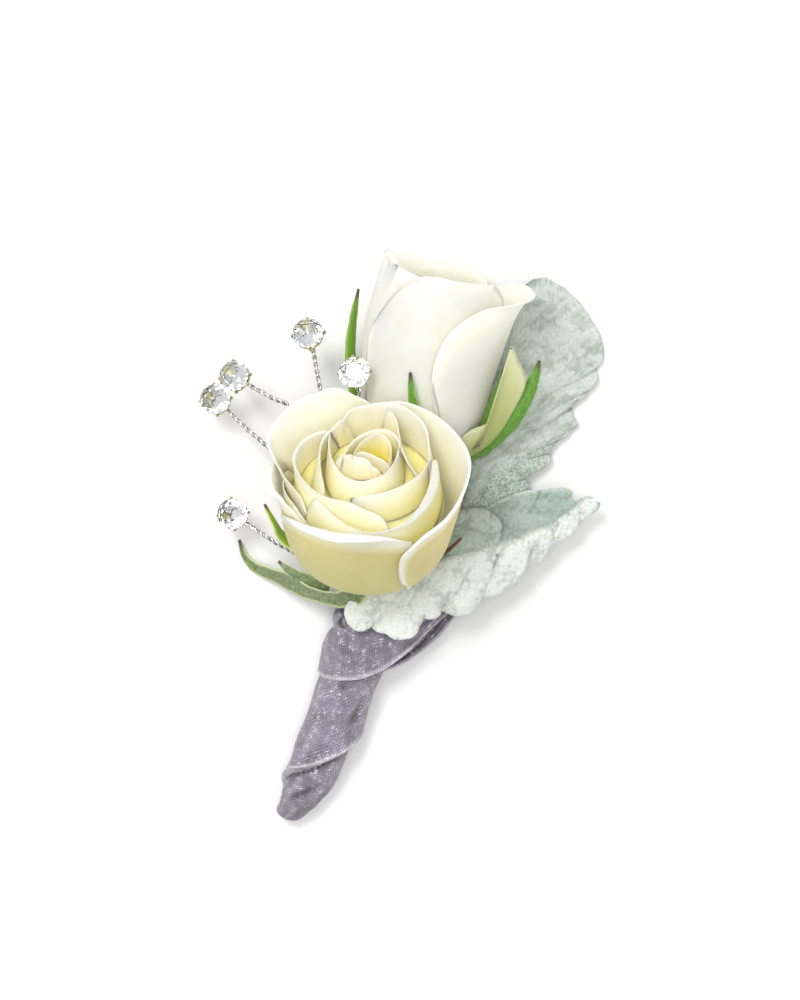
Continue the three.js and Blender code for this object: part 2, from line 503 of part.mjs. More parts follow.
// Handle's axis from the tip up, and the outer radius of the winding along it
const HANDLE = path([[-1.6, -60.6, 4.6], [-0.3, -56.4, 5], [1.4, -50.7, 5.4], [2, -43, 5.7], [2.4, -35.2, 6],
  [2.8, -27.4, 6.3], [4.2, -21.4, 6.6]]);
const HANDLE_RADII = [2.5, 4.1, 4.8, 5.2, 5.4, 5.6, 6.2];

// Ring of the handle at a station, with the overlap of each turn over the one below it
function handleRing(v, scale, shrink) {
  const count = 18;
  const centre = HANDLE.getPoint(v);
  const along = HANDLE.getTangent(v);
  const side = new THREE.Vector3(along.y, -along.x, 0).normalize();
  const down = along.clone().cross(side).normalize();
  return Array.from({ length: count }, (_, i) => {
    const a = (2 * Math.PI * i) / count;
    const turns = (v * HANDLE.getLength() - 7) / WRAP_PITCH - (i / count - 0.5);
    const overlap = shrink > 0 ? 0 : WRAP_STEP * (1 - (turns - Math.floor(turns)));
    const reach = (through(HANDLE_RADII, v) + overlap - shrink) * scale;
    const point = centre.clone().addScaledVector(side, reach * Math.cos(a));
    return point.addScaledVector(down, reach * Math.sin(a));
  });
}

function ribbonSleeve() {
  const stations = 19;
  const tip = [handleRing(0, 0.45, 0).map((p) => p.addScaledVector(new THREE.Vector3(-0.3, -1, 0), 1.6))];
  const outer = Array.from({ length: stations + 1 }, (_, j) => handleRing(j / stations, 1, 0));
  const inner = [1, 0.85, 0.6, 0.4, 0.2].map((v) => handleRing(v, 1, RIBBON_WALL));
  return skin([...tip, ...outer, ...inner]);
}

// Loose turn of ribbon between a lower and an upper edge
function ribbonTurn(lower, upper, crown, steps) {
  const low = path(lower);
  const high = path(upper);
  return blade(4, steps, RIBBON_TURN_THICK, (u, v) => {
    const point = low.getPoint(v).lerp(high.getPoint(v), u);
    point.z += crown * Math.sin(Math.PI * u) * Math.sin(Math.PI * v);
    return point;
  });
}

function ribbon() {
  const front = ribbonTurn(
    [[-3.6, -30.6, 4.6], [-1.4, -31.4, 10.4], [4.2, -30, 12.6], [9, -26.8, 11.6], [12.4, -23.6, 10.8],
      [17.3, -18.7, 9.8], [19.8, -14.3, 8.8], [20.8, -10.4, 7.6]],
    [[-4.2, -24.4, 5], [-3.2, -20.8, 10.4], [0.4, -17.6, 12.6], [4.9, -15, 12.8], [9, -12.8, 12.4],
      [13.8, -10.6, 11.4], [17.9, -9.4, 9.4], [20, -9.4, 7.6]], 0.6, 12);
  const back = ribbonTurn(
    [[20.8, -10.6, 7.4], [18, -15, 5.4], [13.2, -20, 3.4], [8.6, -24.4, 1.6], [5.4, -27.6, 1.2]],
    [[20, -9.4, 7.2], [15.4, -11.6, 4.6], [10.4, -15.6, 2.4], [6.2, -20, 1.2], [3.4, -23.6, 0.9]], 0.2, 8);
  const tuck = new THREE.SphereGeometry(2.3, 10, 6).scale(1, 1.25, 0.8).translate(-1.7, -17.9, 11.6);
  return fuse([ribbonSleeve(), front, back, tuck]);
}

add("rose_open_petals", openRose(), "#efecd2", 0.65);
add("rose_open_calyx", roseCalyx(), "#6f8540", 0.7);
add("rose_bud_petals", budPetals(), "#f1f0df", 0.65);
add("rose_bud_calyx", budCalyx(), "#6a8c34", 0.7);
add("leaf_upper", leaf(UPPER_LEAF), "#a9b5a8", 0.95);
add("leaf_lower", leaf(LOWER_LEAF), "#cfd3ca", 0.95);
add("leaf_small", leaf(SMALL_LEAF), "#8f9c8d", 0.95);
add("ribbon", ribbon(), "#8d8794", 0.5);
add("crystal_spray", spray(), "#d5d4d4", 0.3, 1);
SPRAY.forEach((item, i) => {
  add(`crystal_${i + 1}`, fuse([stone().applyMatrix4(stonePose(item))]), "#e8ecee", 0.05);
  add(`setting_${i + 1}`, fuse(cup().map((g) => g.applyMatrix4(stonePose(item)))), "#b3a861", 0.3, 1);
});

export default boutonniere;
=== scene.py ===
import math

import bpy
import numpy as np
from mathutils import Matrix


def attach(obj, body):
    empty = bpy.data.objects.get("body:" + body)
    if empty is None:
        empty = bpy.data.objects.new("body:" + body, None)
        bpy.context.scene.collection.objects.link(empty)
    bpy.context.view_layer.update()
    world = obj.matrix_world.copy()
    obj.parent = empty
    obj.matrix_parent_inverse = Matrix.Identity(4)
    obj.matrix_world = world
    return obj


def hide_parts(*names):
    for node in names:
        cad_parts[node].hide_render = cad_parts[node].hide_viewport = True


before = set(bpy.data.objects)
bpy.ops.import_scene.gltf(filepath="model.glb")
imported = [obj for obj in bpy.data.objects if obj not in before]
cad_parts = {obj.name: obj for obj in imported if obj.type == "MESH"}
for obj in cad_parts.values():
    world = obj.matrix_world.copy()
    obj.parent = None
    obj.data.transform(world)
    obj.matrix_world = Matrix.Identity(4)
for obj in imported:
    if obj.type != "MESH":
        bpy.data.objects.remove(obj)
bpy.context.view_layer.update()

# Camera
# The photograph looks straight down on the boutonniere, which is turned a little on the table, so the
# camera hangs above it, turned by the same angle, with a long lens and the photograph's framing.
PICTURE_TURN = math.radians(16)
eye = bpy.data.cameras.new("overhead_camera")
eye.lens = 152.7
eye.sensor_width = 36
eye.clip_start, eye.clip_end = 0.05, 20
overhead = bpy.data.objects.new("overhead_camera", eye)
overhead.location = (0.0029, 0.0088, 0.9)
overhead.rotation_euler = (0, 0, PICTURE_TURN)
bpy.context.scene.collection.objects.link(overhead)
bpy.context.scene.camera = overhead


# Open rose, petals
# An open white spray rose: guard petals rolled back at the rim, then ring on ring of petals wrapped
# tighter towards the spiral eye. Each petal is a thin, soft, slightly translucent sheet that grows from
# the top of the hip. Its yellow low down in the folds is partly the petal's own colour and partly painted
# warm light, standing in for light that goes between the layers.
MM = 0.001
# A petal's thickness at its edge, what its body and its root add, and the lowest that a petal lies, in mm
EDGE_THICK, BODY_MORE, ROOT_MORE, LOWEST = 0.14, 0.24, 0.35, 0.3


def through(values, t):
    """Smooth value at t, 0 to 1, through evenly spaced values: the cubic whose slope at each value is half
    the step between its neighbours."""
    values = np.asarray(values, float)
    last = len(values) - 1
    at = np.clip(t, 0, 1) * last
    i = np.minimum(np.floor(at).astype(int), last - 1)
    f = at - i
    b, c = values[i], values[i + 1]
    a = np.where(i > 0, values[np.maximum(i - 1, 0)], 2 * b - c)
    d = np.where(i + 2 <= last, values[np.minimum(i + 2, last)], 2 * c - b)
    return b + 0.5 * f * (c - a + f * (2 * a - 5 * b + 4 * c - d + f * (3 * (b - c) + d - a)))


def unit(vectors):
    """The vectors made 1 long, each divided by its length."""
    return vectors / np.maximum(np.linalg.norm(vectors, axis=-1, keepdims=True), 1e-9)


def smooth(x, low, high):
    """0 below low, 1 above high, and 3t^2 - 2t^3 between."""
    t = np.clip((x - low) / (high - low), 0, 1)
    return t * t * (3 - 2 * t)


def bloom_frame(base, azimuth, tilt):
    """Origin, side, second and axis of a bloom whose axis leans by tilt from the vertical towards
    azimuth."""
    a, t = math.radians(azimuth), math.radians(tilt)
    axis = np.array([math.sin(t) * math.cos(a), math.sin(t) * math.sin(a), math.cos(t)])
    side = np.array([math.sin(a), -math.cos(a), 0])
    return np.array(base, float), side, np.cross(axis, side), axis


def in_bloom(bloom, radius, azimuth, height):
    """Points at radius and azimuth, in degrees, round the bloom's axis and height along it."""
    origin, side, second, axis = bloom
    a = np.radians(azimuth)
    r = np.asarray(radius)[..., None]
    return origin + r * (np.cos(a)[..., None] * side + np.sin(a)[..., None] * second) \
        + np.asarray(height)[..., None] * axis


def surface_normals(grid):
    """Unit normals of a grid of points: across-step cross along-step."""
    return unit(np.cross(np.gradient(grid, axis=1), np.gradient(grid, axis=0)))


def closed_sheet(grid, thick):
    """Closed skin of a sheet: the grid moved by half its thickness to both faces, joined round its margin.
    Gives points, four-cornered faces and 1 for the front face's points, 0 for the back's."""
    rows, columns = grid.shape[:2]
    half = surface_normals(grid) * (np.broadcast_to(thick, grid.shape[:2])[..., None] / 2)
    points = np.concatenate([(grid + half).reshape(-1, 3), (grid - half).reshape(-1, 3)])
    index = np.arange(rows * columns).reshape(rows, columns)
    front = np.stack([index[:-1, :-1], index[:-1, 1:], index[1:, 1:], index[1:, :-1]], -1).reshape(-1, 4)
    edge = np.concatenate([index[0, :-1], index[:-1, -1], index[-1, :0:-1], index[:0:-1, 0]])
    after = np.roll(edge, -1)
    under = rows * columns
    rim = np.stack([after, edge, edge + under, after + under], -1)
    faces = np.concatenate([front, front[:, ::-1] + under, rim])
    return points, faces, np.repeat([1.0, 0.0], under)


def on_both(shape, **values):
    """Each value spread over a grid of the shape, for its front face's points and again for its back's."""
    return {key: np.tile((value * np.ones(shape)).ravel(), 2) for key, value in values.items()}


def piece(name, shells, stands_for, finish):
    """One object from closed shells, each (points in mm, faces, {attribute: values}), with smooth faces."""
    points, faces, start = [], [], 0
    for shell in shells:
        points.append(shell[0])
        faces += [row for block in shell[1] for row in (block + start).tolist()]
        start += len(shell[0])
    mesh = bpy.data.meshes.new(name)
    mesh.from_pydata(np.concatenate(points) * MM, [], faces)
    mesh.polygons.foreach_set("use_smooth", np.full(len(faces), True))
    for key in shells[0][2]:
        values = np.concatenate([np.asarray(shell[2][key], np.float32).ravel() for shell in shells])
        mesh.attributes.new(key, "FLOAT", "POINT").data.foreach_set("value", values)
    mesh.materials.append(finish)
    mesh.update()
    made = bpy.data.objects.new(name, mesh)
    bpy.context.scene.collection.objects.link(made)
    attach(made, "root")
    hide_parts(stands_for)


def petal(bloom, form, seed, columns=80, wall=34, lip=7):
    """Closed petal. Each line up its wall starts on the bloom's profile, scaled by the petal's girth, and
    ends on its rim, given as radius, azimuth and height; it leans from the one to the other as v^lean.
    The foot spans the azimuths of wall, or else the rim's, which least holds from below; a margin, given
    as height and azimuth, holds the lines back on the wall's free side. Past the rim the petal rolls
    outward on an arc; low waves grow towards the rim as v^4. Where it would go into the table it lies
    flat on it."""
    draw = np.random.default_rng(seed)
    u = np.linspace(0, 1, columns)[None, :]
    v = np.linspace(0, 1, wall)[:, None]
    radius, azimuth, top = (through(values, u) for values in np.array(form["rim"], float).T)
    first, last = form.get("wall", (azimuth[0, 0], azimuth[0, -1]))
    beneath = first + (last - first) * u if "wall" in form else np.maximum(azimuth, form.get("least", -999))
    spread = 0.55 + 0.45 * smooth(v, 0, 0.5)
    foot = np.radians((first + last) / 2 + (beneath - (first + last) / 2) * spread)
    if "margin" in form:
        at_height, at_azimuth = np.array(form["margin"], float).T
        edge_line = np.radians(np.interp(through(bloom["heights"], v) * top, at_height, at_azimuth))
        foot = edge_line + np.where(foot < edge_line, 0.05, 1.0) * (foot - edge_line)
    wave = form.get("wave", 0.16)
    phase = draw.uniform(0, 2 * np.pi, 4)
    ripple = wave * (np.sin(5.1 * np.pi * u + phase[0]) + 0.6 * np.sin(11.3 * np.pi * u + phase[1])) * v ** 4
    long_wave, short_wave = np.sin(4.3 * np.pi * u + phase[2]), np.sin(9.7 * np.pi * u + phase[3])
    quiver = 0.3 * wave * np.sin(21 * np.pi * u + phase[0]) * np.sin(13 * np.pi * u + phase[2])
    crest = wave * (0.8 * long_wave + 0.5 * short_wave) * v ** 4 + quiver * v ** 9
    rise = through(bloom["heights"], v)
    tall = np.linspace(0, 1, 200)
    girth = through(form["girth"], u) * np.interp(rise * top, through(bloom["heights"], tall) * bloom["tall"],
                                                  through(bloom["radii"], tall))
    lean = v ** form.get("lean", 3)
    rim_azimuth = np.radians(azimuth)
    x = girth * np.cos(foot) * (1 - lean) + (radius + ripple) * np.cos(rim_azimuth) * lean
    y = girth * np.sin(foot) * (1 - lean) + (radius + ripple) * np.sin(rim_azimuth) * lean
    z = rise * top + crest
    sheet = np.stack([x, y, z * np.ones_like(x)], -1)
    up = unit(sheet[-1] - sheet[-3])
    out = unit(np.cross(np.gradient(sheet[-1], axis=0), up))
    curl = through(form["curl"], u)[0][:, None]
    roll = np.radians(through(form.get("roll", [110, 110]), u))[0][:, None]
    roll = roll * np.linspace(0, 1, lip + 1)[1:, None, None]
    edge = sheet[-1] + curl * (np.sin(roll) * up + (1 - np.cos(roll)) * out)
    sheet = np.concatenate([sheet, edge])
    grid = bloom["frame"][0] + sheet @ np.stack(bloom["frame"][1:])
    grid[..., 2] = np.maximum(grid[..., 2], LOWEST)
    past_rim = 1 + 0.1 * np.linspace(0.1, 1, lip)[:, None]
    reach = np.concatenate([v * np.ones_like(u), past_rim * np.ones_like(u)])
    margin = np.clip(np.minimum(np.minimum(u, 1 - u) * 12, (1.11 - reach) * 4), 0, 1)
    thick = EDGE_THICK + BODY_MORE * smooth(margin, 0, 1) + ROOT_MORE * (1 - smooth(reach, 0, 0.3))
    thick = np.minimum(thick, 0.03 + 1.5 * np.maximum(curl.T, 0.02) + 5 * np.maximum(1 - reach, 0))
    points, faces, front = closed_sheet(grid, thick)
    turn = math.radians(abs(form["rim"][-1][1] - form["rim"][0][1]))
    marks = on_both(grid.shape[:2], reach=reach, depth=form["depth"], across=u * turn, which=seed / 40,
                    young=form.get("young", bloom["young"]))
    return points, [faces], {"outer": front, **marks}


OPEN_ROSE = {"frame": bloom_frame([-0.66, -3, 20.6], 106, 36), "heights": [0, 0.05, 0.24, 0.5, 0.78, 1],
             "radii": [2.6, 11.2, 16.4, 17.8, 18.7, 19.6], "tall": 28, "young": 0}

# Guard petals first, then each ring inward. A rim is radius, azimuth and height round the bloom's axis
OPEN_PETALS = [
    dict(rim=[[17.2, 86, 26], [19.0, 97, 27.6], [21.0, 108, 28.2], [21.7, 123, 28.2], [22.1, 146, 28],
              [21.0, 160, 27.5], [17.0, 178, 26.5], [14.3, 199, 24], [13.8, 222, 20]],
         girth=[0.97, 0.97, 0.93, 0.86, 0.82], lean=3.2, curl=[0.1, 0.25, 0.35, 0.35, 0.2, 0.1], wave=0.24,
         depth=0.06),
    dict(rim=[[17.4, -60, 8.6], [18.6, -65.6, 11.4], [19.6, -69.6, 15], [20.2, -71, 19.6],
              [20.1, -69, 24.4], [20.1, -61, 27.5], [19.8, -50, 28], [19.9, -35, 28], [20.4, -14, 28],
              [20.5, 6, 28], [19.8, 26, 28], [18.9, 51, 28], [18.5, 72, 27.6], [18.4, 82, 26]],
         girth=[0.98, 0.98], lean=3.2, least=-56, wave=0.2,
         curl=[0.02, 0.06, 0.08, 0.1, 0.2, 0.5, 0.7, 0.6, 0.4, 0.3, 0.3, 0.2, 0.2, 0.1], depth=0.05),
    dict(rim=[[18.8, 146, 15], [19.0, 156, 20], [19.3, 173, 26], [19.2, 185, 27.5], [19.0, 195, 28],
              [18.7, 203, 28], [18.2, 210, 27.8], [17.3, 216, 27], [16.6, 221, 24]],
         girth=[0.93, 0.93, 0.92, 0.9], lean=4, curl=[0.05, 0.3, 0.9, 1.0, 0.6, 0.15, 0.05], depth=0),
    dict(rim=[[16.2, 158, 18], [16.6, 168, 22.6], [17, 182, 24.8], [16.8, 196, 25.6], [16, 209, 25],
              [15.2, 221, 22]],
         girth=[0.9, 0.9], lean=4, curl=[0.1, 0.1], wave=0.05, depth=0.3),
    dict(rim=[[16.9, 170, 10], [17.6, 187, 16], [18.2, 205, 22.6], [19, 221, 27.2], [17.8, 237, 28],
              [17.2, 252, 28.2], [17.1, 270, 28.2], [17.8, 285, 28], [18.8, 299, 26]],
         girth=[0.97, 0.955, 0.95, 0.97], lean=4, curl=[0.05, 0.1, 0.2, 0.8, 1.6, 1.9, 1.6, 0.6, 0.1],
         roll=[60, 90, 110, 125, 130, 130, 120, 90], wave=0.1, young=0.5, depth=0),
    dict(rim=[[12.4, 0, 20], [12.6, 7, 26.6], [13.1, 17, 27.6], [14.3, 32, 28], [16.2, 48, 28.2],
              [17.1, 62, 28.2], [17.2, 74, 28.2], [15.9, 90, 28], [15.8, 101, 27.6], [14, 111, 26.4],
              [13.6, 117, 20]],
         girth=[0.84, 0.84], curl=[0.1, 0.25, 0.25, 0.1], depth=0.3),
    dict(rim=[[12.6, 203, 20], [12.6, 212, 26.8], [12.5, 228, 27.6], [13.8, 247, 28], [15.3, 264, 28],
              [15.8, 276, 28], [15.7, 288, 28], [15.4, 300, 28.2], [14.6, 315, 28.4], [13.7, 332, 28.4],
              [13.2, 352, 28], [13.4, 370, 26.8], [13.2, 377, 20]],
         girth=[0.88, 0.88], wave=0.06, curl=[0.1, 0.15, 0.2, 0.25, 0.3, 0.5, 1, 1.5, 1.4, 0.8, 0.1],
         roll=[90, 90, 90, 100, 120, 130, 130, 110], depth=0.3),
    dict(rim=[[12.7, 120, 20], [12.9, 129, 27], [14.3, 146, 28], [14.8, 161, 28.2], [14.6, 174, 28.2],
              [13.2, 192, 28], [11.1, 214, 27.8], [8.6, 246, 27.4], [10.0, 277, 26.8], [11.7, 289, 25],
              [12.8, 294, 20.6]],
         girth=[0.78, 0.78], wave=0.06, curl=[0.1, 0.3, 0.35, 0.25, 0.15, 0.1], depth=0.4),
    dict(rim=[[6.6, 222, 20.5], [5.9, 240, 25.2], [5.8, 270, 27], [6.4, 296, 27.6], [7.4, 320, 27.9],
              [9.0, 340, 28], [10.9, 355, 27.8], [13.0, 376, 26.6], [13.2, 384, 20]],
         girth=[0.5, 0.66, 0.72, 0.72, 0.72], lean=2.4, wave=0.04, curl=[0.08, 0.15, 0.15, 0.1],
         depth=0.45),
    dict(rim=[[13.9, 101, 20], [13.8, 109, 27], [12.4, 124, 28.1], [11.4, 142, 28.3], [10.1, 160, 28.1],
              [9.3, 185, 27.6], [9.4, 204, 26.2], [9.6, 211, 20]],
         girth=[0.67, 0.67], wave=0.05, curl=[0.05, 0.2, 0.2, 0.05], depth=0.5),
    dict(rim=[[11.4, -9, 20], [10.4, -5, 26.4], [9.4, 0, 27.7], [8.3, 13, 28.1], [8.7, 38, 28.3],
              [11.4, 56, 28.2], [14.2, 66, 27.8], [16.2, 75, 26.6], [16, 80, 20]],
         girth=[0.66, 0.66, 0.66, 0.72, 0.84], wave=0.05, curl=[0.05, 0.12, 0.05], depth=0.5),
    dict(rim=[[12.8, 116, 20], [12.8, 124, 27], [10.6, 137, 28], [8.6, 151, 28.4], [6.2, 178, 28.6],
              [4.9, 211, 28.7], [3.9, 246, 28.7], [3.2, 292, 28.6], [4.0, 343, 28.5], [5.8, 378, 28.2],
              [8.4, 400, 27.4], [9, 410, 21]],
         girth=[0.58, 0.58], lean=2.4, wave=0.04, curl=[0.05, 0.2, 0.2, 0.15], depth=0.6),
    dict(rim=[[6.2, 20, 21], [6.9, 32, 27], [8.7, 42, 28.2], [9.8, 53, 28.6], [10.1, 66, 28.8],
              [9.3, 81, 28.8], [8.0, 100, 28.6], [6.9, 120, 28.4], [6.0, 138, 28], [5.5, 157, 26.8],
              [5.4, 168, 21]],
         girth=[0.46, 0.46], wave=0.04, curl=[0.05, 0.14, 0.14, 0.05], depth=0.85),
    dict(rim=[[4.6, 16, 21], [5, 29, 26.9], [6.9, 45, 28.1], [8.5, 62, 28.4], [9.0, 76, 28.4],
              [7.5, 92, 28.3], [5.9, 110, 27.9], [4.8, 127, 26.8], [4.6, 138, 21]],
         girth=[0.36, 0.36], wave=0.03, curl=[0.05, 0.1, 0.05], depth=1),
    dict(rim=[[6.7, 166, 27.2], [6.3, 151, 28.2], [4.9, 138, 28.6], [2.8, 121, 28.8], [1.1, 43, 28.6],
              [2.5, -6, 27.6]],
         wall=(185, 352), girth=[0.34, 0.34], lean=2.4, wave=0.05, curl=[0.05, 0.12, 0.05], depth=0.6),
    dict(rim=[[4.9, 0, 22], [4.8, 10, 27], [4.0, 24, 28.1], [3.5, 54, 28.2], [3.9, 87, 28.1],
              [4.7, 110, 27.8], [4.4, 125, 27], [4.4, 134, 22]],
         girth=[0.2, 0.2], wave=0.05, curl=[0.05, 0.1, 0.05], depth=0.3),
]


def linear(hex_colour):
    """The linear colour of an sRGB hex value: ((c + 0.055) / 1.055)^2.4, or c / 12.92 below 0.04045."""
    c = np.array([int(hex_colour[i:i + 2], 16) / 255 for i in (1, 3, 5)])
    return (*np.where(c > 0.04045, ((c + 0.055) / 1.055) ** 2.4, c / 12.92), 1.0)


def new_material(name):
    """An empty node material with its surface shader, and that shader."""
    material = bpy.data.materials.new(name)
    material.use_nodes = True
    return material, material.node_tree.nodes["Principled BSDF"]


def node(material, kind, settings=(), **links):
    """Adds a node with its settings, each (name, value) of the node or (input, value), and its linked
    inputs, each a (node, output) pair or a plain value; a name's underscores stand for spaces."""
    made = material.node_tree.nodes.new(kind)
    for key, value in settings:
        if hasattr(made, key):
            setattr(made, key, value)
        else:
            made.inputs[key].default_value = value
    for key, source in links.items():
        slot_name = int(key[1:]) if key[0] == "i" and key[1:].isdigit() else key.replace("_", " ")
        if isinstance(source, tuple) and len(source) == 2 and hasattr(source[0], "outputs"):
            material.node_tree.links.new(source[0].outputs[source[1]], made.inputs[slot_name])
        else:
            made.inputs[slot_name].default_value = source
    return made


def ramp(material, source, stops):
    """Colour ramp over (position, hex colour) stops."""
    made = node(material, "ShaderNodeValToRGB", Fac=source)
    band = made.color_ramp
    while len(band.elements) < len(stops):
        band.elements.new(0.5)
    for element, (position, colour) in zip(band.elements, stops):
        element.position = position
        element.color = linear(colour)
    return made


def attribute(material, name):
    """One of the piece's own values per point, such as how far up the petal it is."""
    return (node(material, "ShaderNodeAttribute", [("attribute_name", name)]), "Fac")


def blend_colours(material, amount, first, second, how="MIX"):
    """Second colour over the first by amount."""
    made = node(material, "ShaderNodeMix", [("data_type", "RGBA"), ("blend_type", how)])
    for index, value in ((0, amount), (6, first), (7, second)):
        if isinstance(value, tuple) and hasattr(value[0], "outputs"):
            material.node_tree.links.new(value[0].outputs[value[1]], made.inputs[index])
        else:
            made.inputs[index].default_value = linear(value) if isinstance(value, str) else value
    return (made, 2)


def maths(material, operation, first, second, clamp=False):
    """A maths node over two inputs, and its output."""
    settings = [("operation", operation), ("use_clamp", clamp)]
    return (node(material, "ShaderNodeMath", settings, i0=first, i1=second), 0)


def object_place(material):
    """Each point's place in the piece's own frame, in metres, so that a pattern stays with it."""
    return (node(material, "ShaderNodeTexCoord"), "Object")


def noise(material, place, scale, detail=2.0, roughness=0.5):
    """Noise over a place, and its output."""
    settings = [("Scale", scale), ("Detail", detail), ("Roughness", roughness)]
    return (node(material, "ShaderNodeTexNoise", settings, Vector=place), 0)


def mask(material, source, low, high, top="#ffffff"):
    """Black below low, the top tone above high, and a straight ramp between."""
    return (ramp(material, source, [(low, "#000000"), (high, top)]), 0)


def dress(material, shader, skin, height, strength, distance, **constants):
    """Gives the shader its skin colour, a bump of the height and its constants, named as in node()."""
    links = material.node_tree.links
    links.new(skin[0].outputs[skin[1]], shader.inputs["Base Color"])
    bump = node(material, "ShaderNodeBump", [("Strength", strength), ("Distance", distance)], Height=height)
    links.new(bump.outputs[0], shader.inputs["Normal"])
    for key, value in constants.items():
        shader.inputs[key.replace("_", " ")].default_value = value
    return material


def petal_finish(name, rim, body, fold, heart, base, outer, outer_base, green):
    """Rose petal: a soft living skin, matt to satin, that lets light through, with faint veins from base
    to rim every 0.6 mm or so. Paler at the rim, warmer down in the folds, and yellow in the spiral eye; a
    young petal is greener, most of all at its base."""
    material, shader = new_material(name)
    reach, depth, young = (attribute(material, key) for key in ("reach", "depth", "young"))
    # Painted light: the fold and heart yellows low on each petal are partly its own colour and partly painted
    # warm light from between the layers.
    inside = ramp(material, reach, [(0, base), (0.3, fold), (0.7, body), (0.97, rim)])
    deep = ramp(material, reach, [(0.8, heart), (0.95, fold), (1.03, body)])
    inner = blend_colours(material, mask(material, depth, 0.35, 1), (inside, 0), (deep, 0))
    # Painted shade: the beige back of the outer petals is partly its own colour and partly painted shade; the
    # backs of tight inner petals get the painted warm yellow of the folds.
    back = ramp(material, reach, [(0, outer_base), (0.28, outer), (0.84, outer), (0.97, rim)])
    tight = ramp(material, reach, [(0.5, heart), (0.86, fold), (1.0, body), (1.06, rim)])
    back = blend_colours(material, mask(material, depth, 0.12, 0.3), (back, 0), (tight, 0))
    skin = blend_colours(material, attribute(material, "outer"), inner, back)
    greening = ramp(material, reach, [(0.1, "#ffffff"), (0.38, "#bcbcbc"), (0.7, "#8a8a8a"),
                                      (0.98, "#505050")])
    tinted = maths(material, "MULTIPLY", young, (greening, 0), True)
    tinted = maths(material, "ADD", tinted, maths(material, "SUBTRACT", young, 1.0, True), True)
    skin = blend_colours(material, tinted, skin, green)
    across = maths(material, "MULTIPLY", attribute(material, "across"), 46.0)
    up = maths(material, "MULTIPLY", reach, 5.0)
    which = maths(material, "MULTIPLY", attribute(material, "which"), 97.0)
    place = node(material, "ShaderNodeCombineXYZ", X=across, Y=up, Z=which)
    vein = noise(material, (place, 0), 1.0, 3.0, 0.55)
    spot = noise(material, object_place(material), 200.0, 4.0)
    tone = ramp(material, vein, [(0.3, "#f3f0dc"), (0.62, "#ffffff")])
    skin = blend_colours(material, 0.15, skin, (tone, 0), "MULTIPLY")
    mottle = ramp(material, spot, [(0.38, "#f6f2de"), (0.6, "#ffffff")])
    skin = blend_colours(material, 0.35, skin, (mottle, 0), "MULTIPLY")
    return dress(material, shader, skin, vein, 0.04, 0.0004, Roughness=0.55, Specular_IOR_Level=0.25,
                 Subsurface_Weight=0.85, Subsurface_Radius=(1.0, 0.96, 0.8), Subsurface_Scale=0.0022)


def lathe(bloom, profile, sides, extra):
    """Closed solid turned from (radius, height) round the bloom's axis, on which it starts and ends."""
    r, h = np.array(profile, float)[1:-1].T
    a = np.linspace(0, 360, sides, endpoint=False)
    rings = in_bloom(bloom, r[:, None] * np.ones(sides), a[None, :], h[:, None] * np.ones(sides))
    ends = in_bloom(bloom, np.zeros(2), np.zeros(2), np.array([profile[0][1], profile[-1][1]]))
    return ringed(rings, ends, extra)


def ringed(rings, ends, extra):
    """Closed skin over rings of points, each row a ring, with an end point closing each end."""
    rows, sides = rings.shape[:2]
    index = np.arange(rows * sides).reshape(rows, sides)
    beside = np.roll(index, -1, axis=1)
    quads = np.stack([index[:-1], beside[:-1], beside[1:], index[1:]], -1).reshape(-1, 4)
    first, last = rows * sides, rows * sides + 1
    caps = np.concatenate([np.stack([beside[0], index[0], np.full(sides, first)], -1),
                           np.stack([index[-1], beside[-1], np.full(sides, last)], -1)])
    points = np.concatenate([rings.reshape(-1, 3), ends])
    stretch = np.append(np.repeat(np.linspace(0, 1, rows), sides), [0, 1])
    return points, [quads, caps], {key: np.full(len(points), value) if np.isscalar(value) else value(stretch)
                                   for key, value in extra.items()}


# Fold and heart colours are partly painted warm light; the outer colour is partly painted shade.
rose_petal = petal_finish("fresh rose petal, cream white", rim="#eeede0", body="#f2f0d8", fold="#fcf2b4",
                          heart="#fde46a", base="#f6eeaa", outer="#cfc288", outer_base="#b2b86c",
                          green="#b4be6c")
heart_profile = [[0, -0.3], [3.4, -0.3], [9.6, 1.6], [14, 6], [15.4, 11], [15.8, 16], [15.4, 18.6],
                 [13.8, 20], [11.8, 20.6], [9.4, 21.6], [7, 22.8], [4.4, 24], [2, 24.6], [0, 24.8]]
rose_heart = lathe(OPEN_ROSE["frame"], heart_profile, 72,
                   {"reach": lambda s: 0.93 - 0.2 * smooth(s, 0.7, 1), "outer": 0, "depth": 1,
                    "across": 0.5, "which": 0, "young": 0})
open_petals = [petal(OPEN_ROSE, form, seed) for seed, form in enumerate(OPEN_PETALS, 1)]
piece("open_rose_petals", open_petals + [rose_heart], "rose_open_petals", rose_petal)


# Rose bud, petals
# The half-open bud of the same spray: broad petals wrapped round each other into an egg with a loose
# mouth, one flared at its rim, and one small outer petal that stands off. Paler and greener than the
# open rose, because it is younger.
BUD = {"frame": bloom_frame([3.47, 15.95, 8.75], 96.25, 74), "heights": [0, 0.11, 0.27, 0.5, 0.75, 1],
       "radii": [2.4, 8.4, 12.9, 14, 14.9, 14], "tall": 43, "young": 0.4}

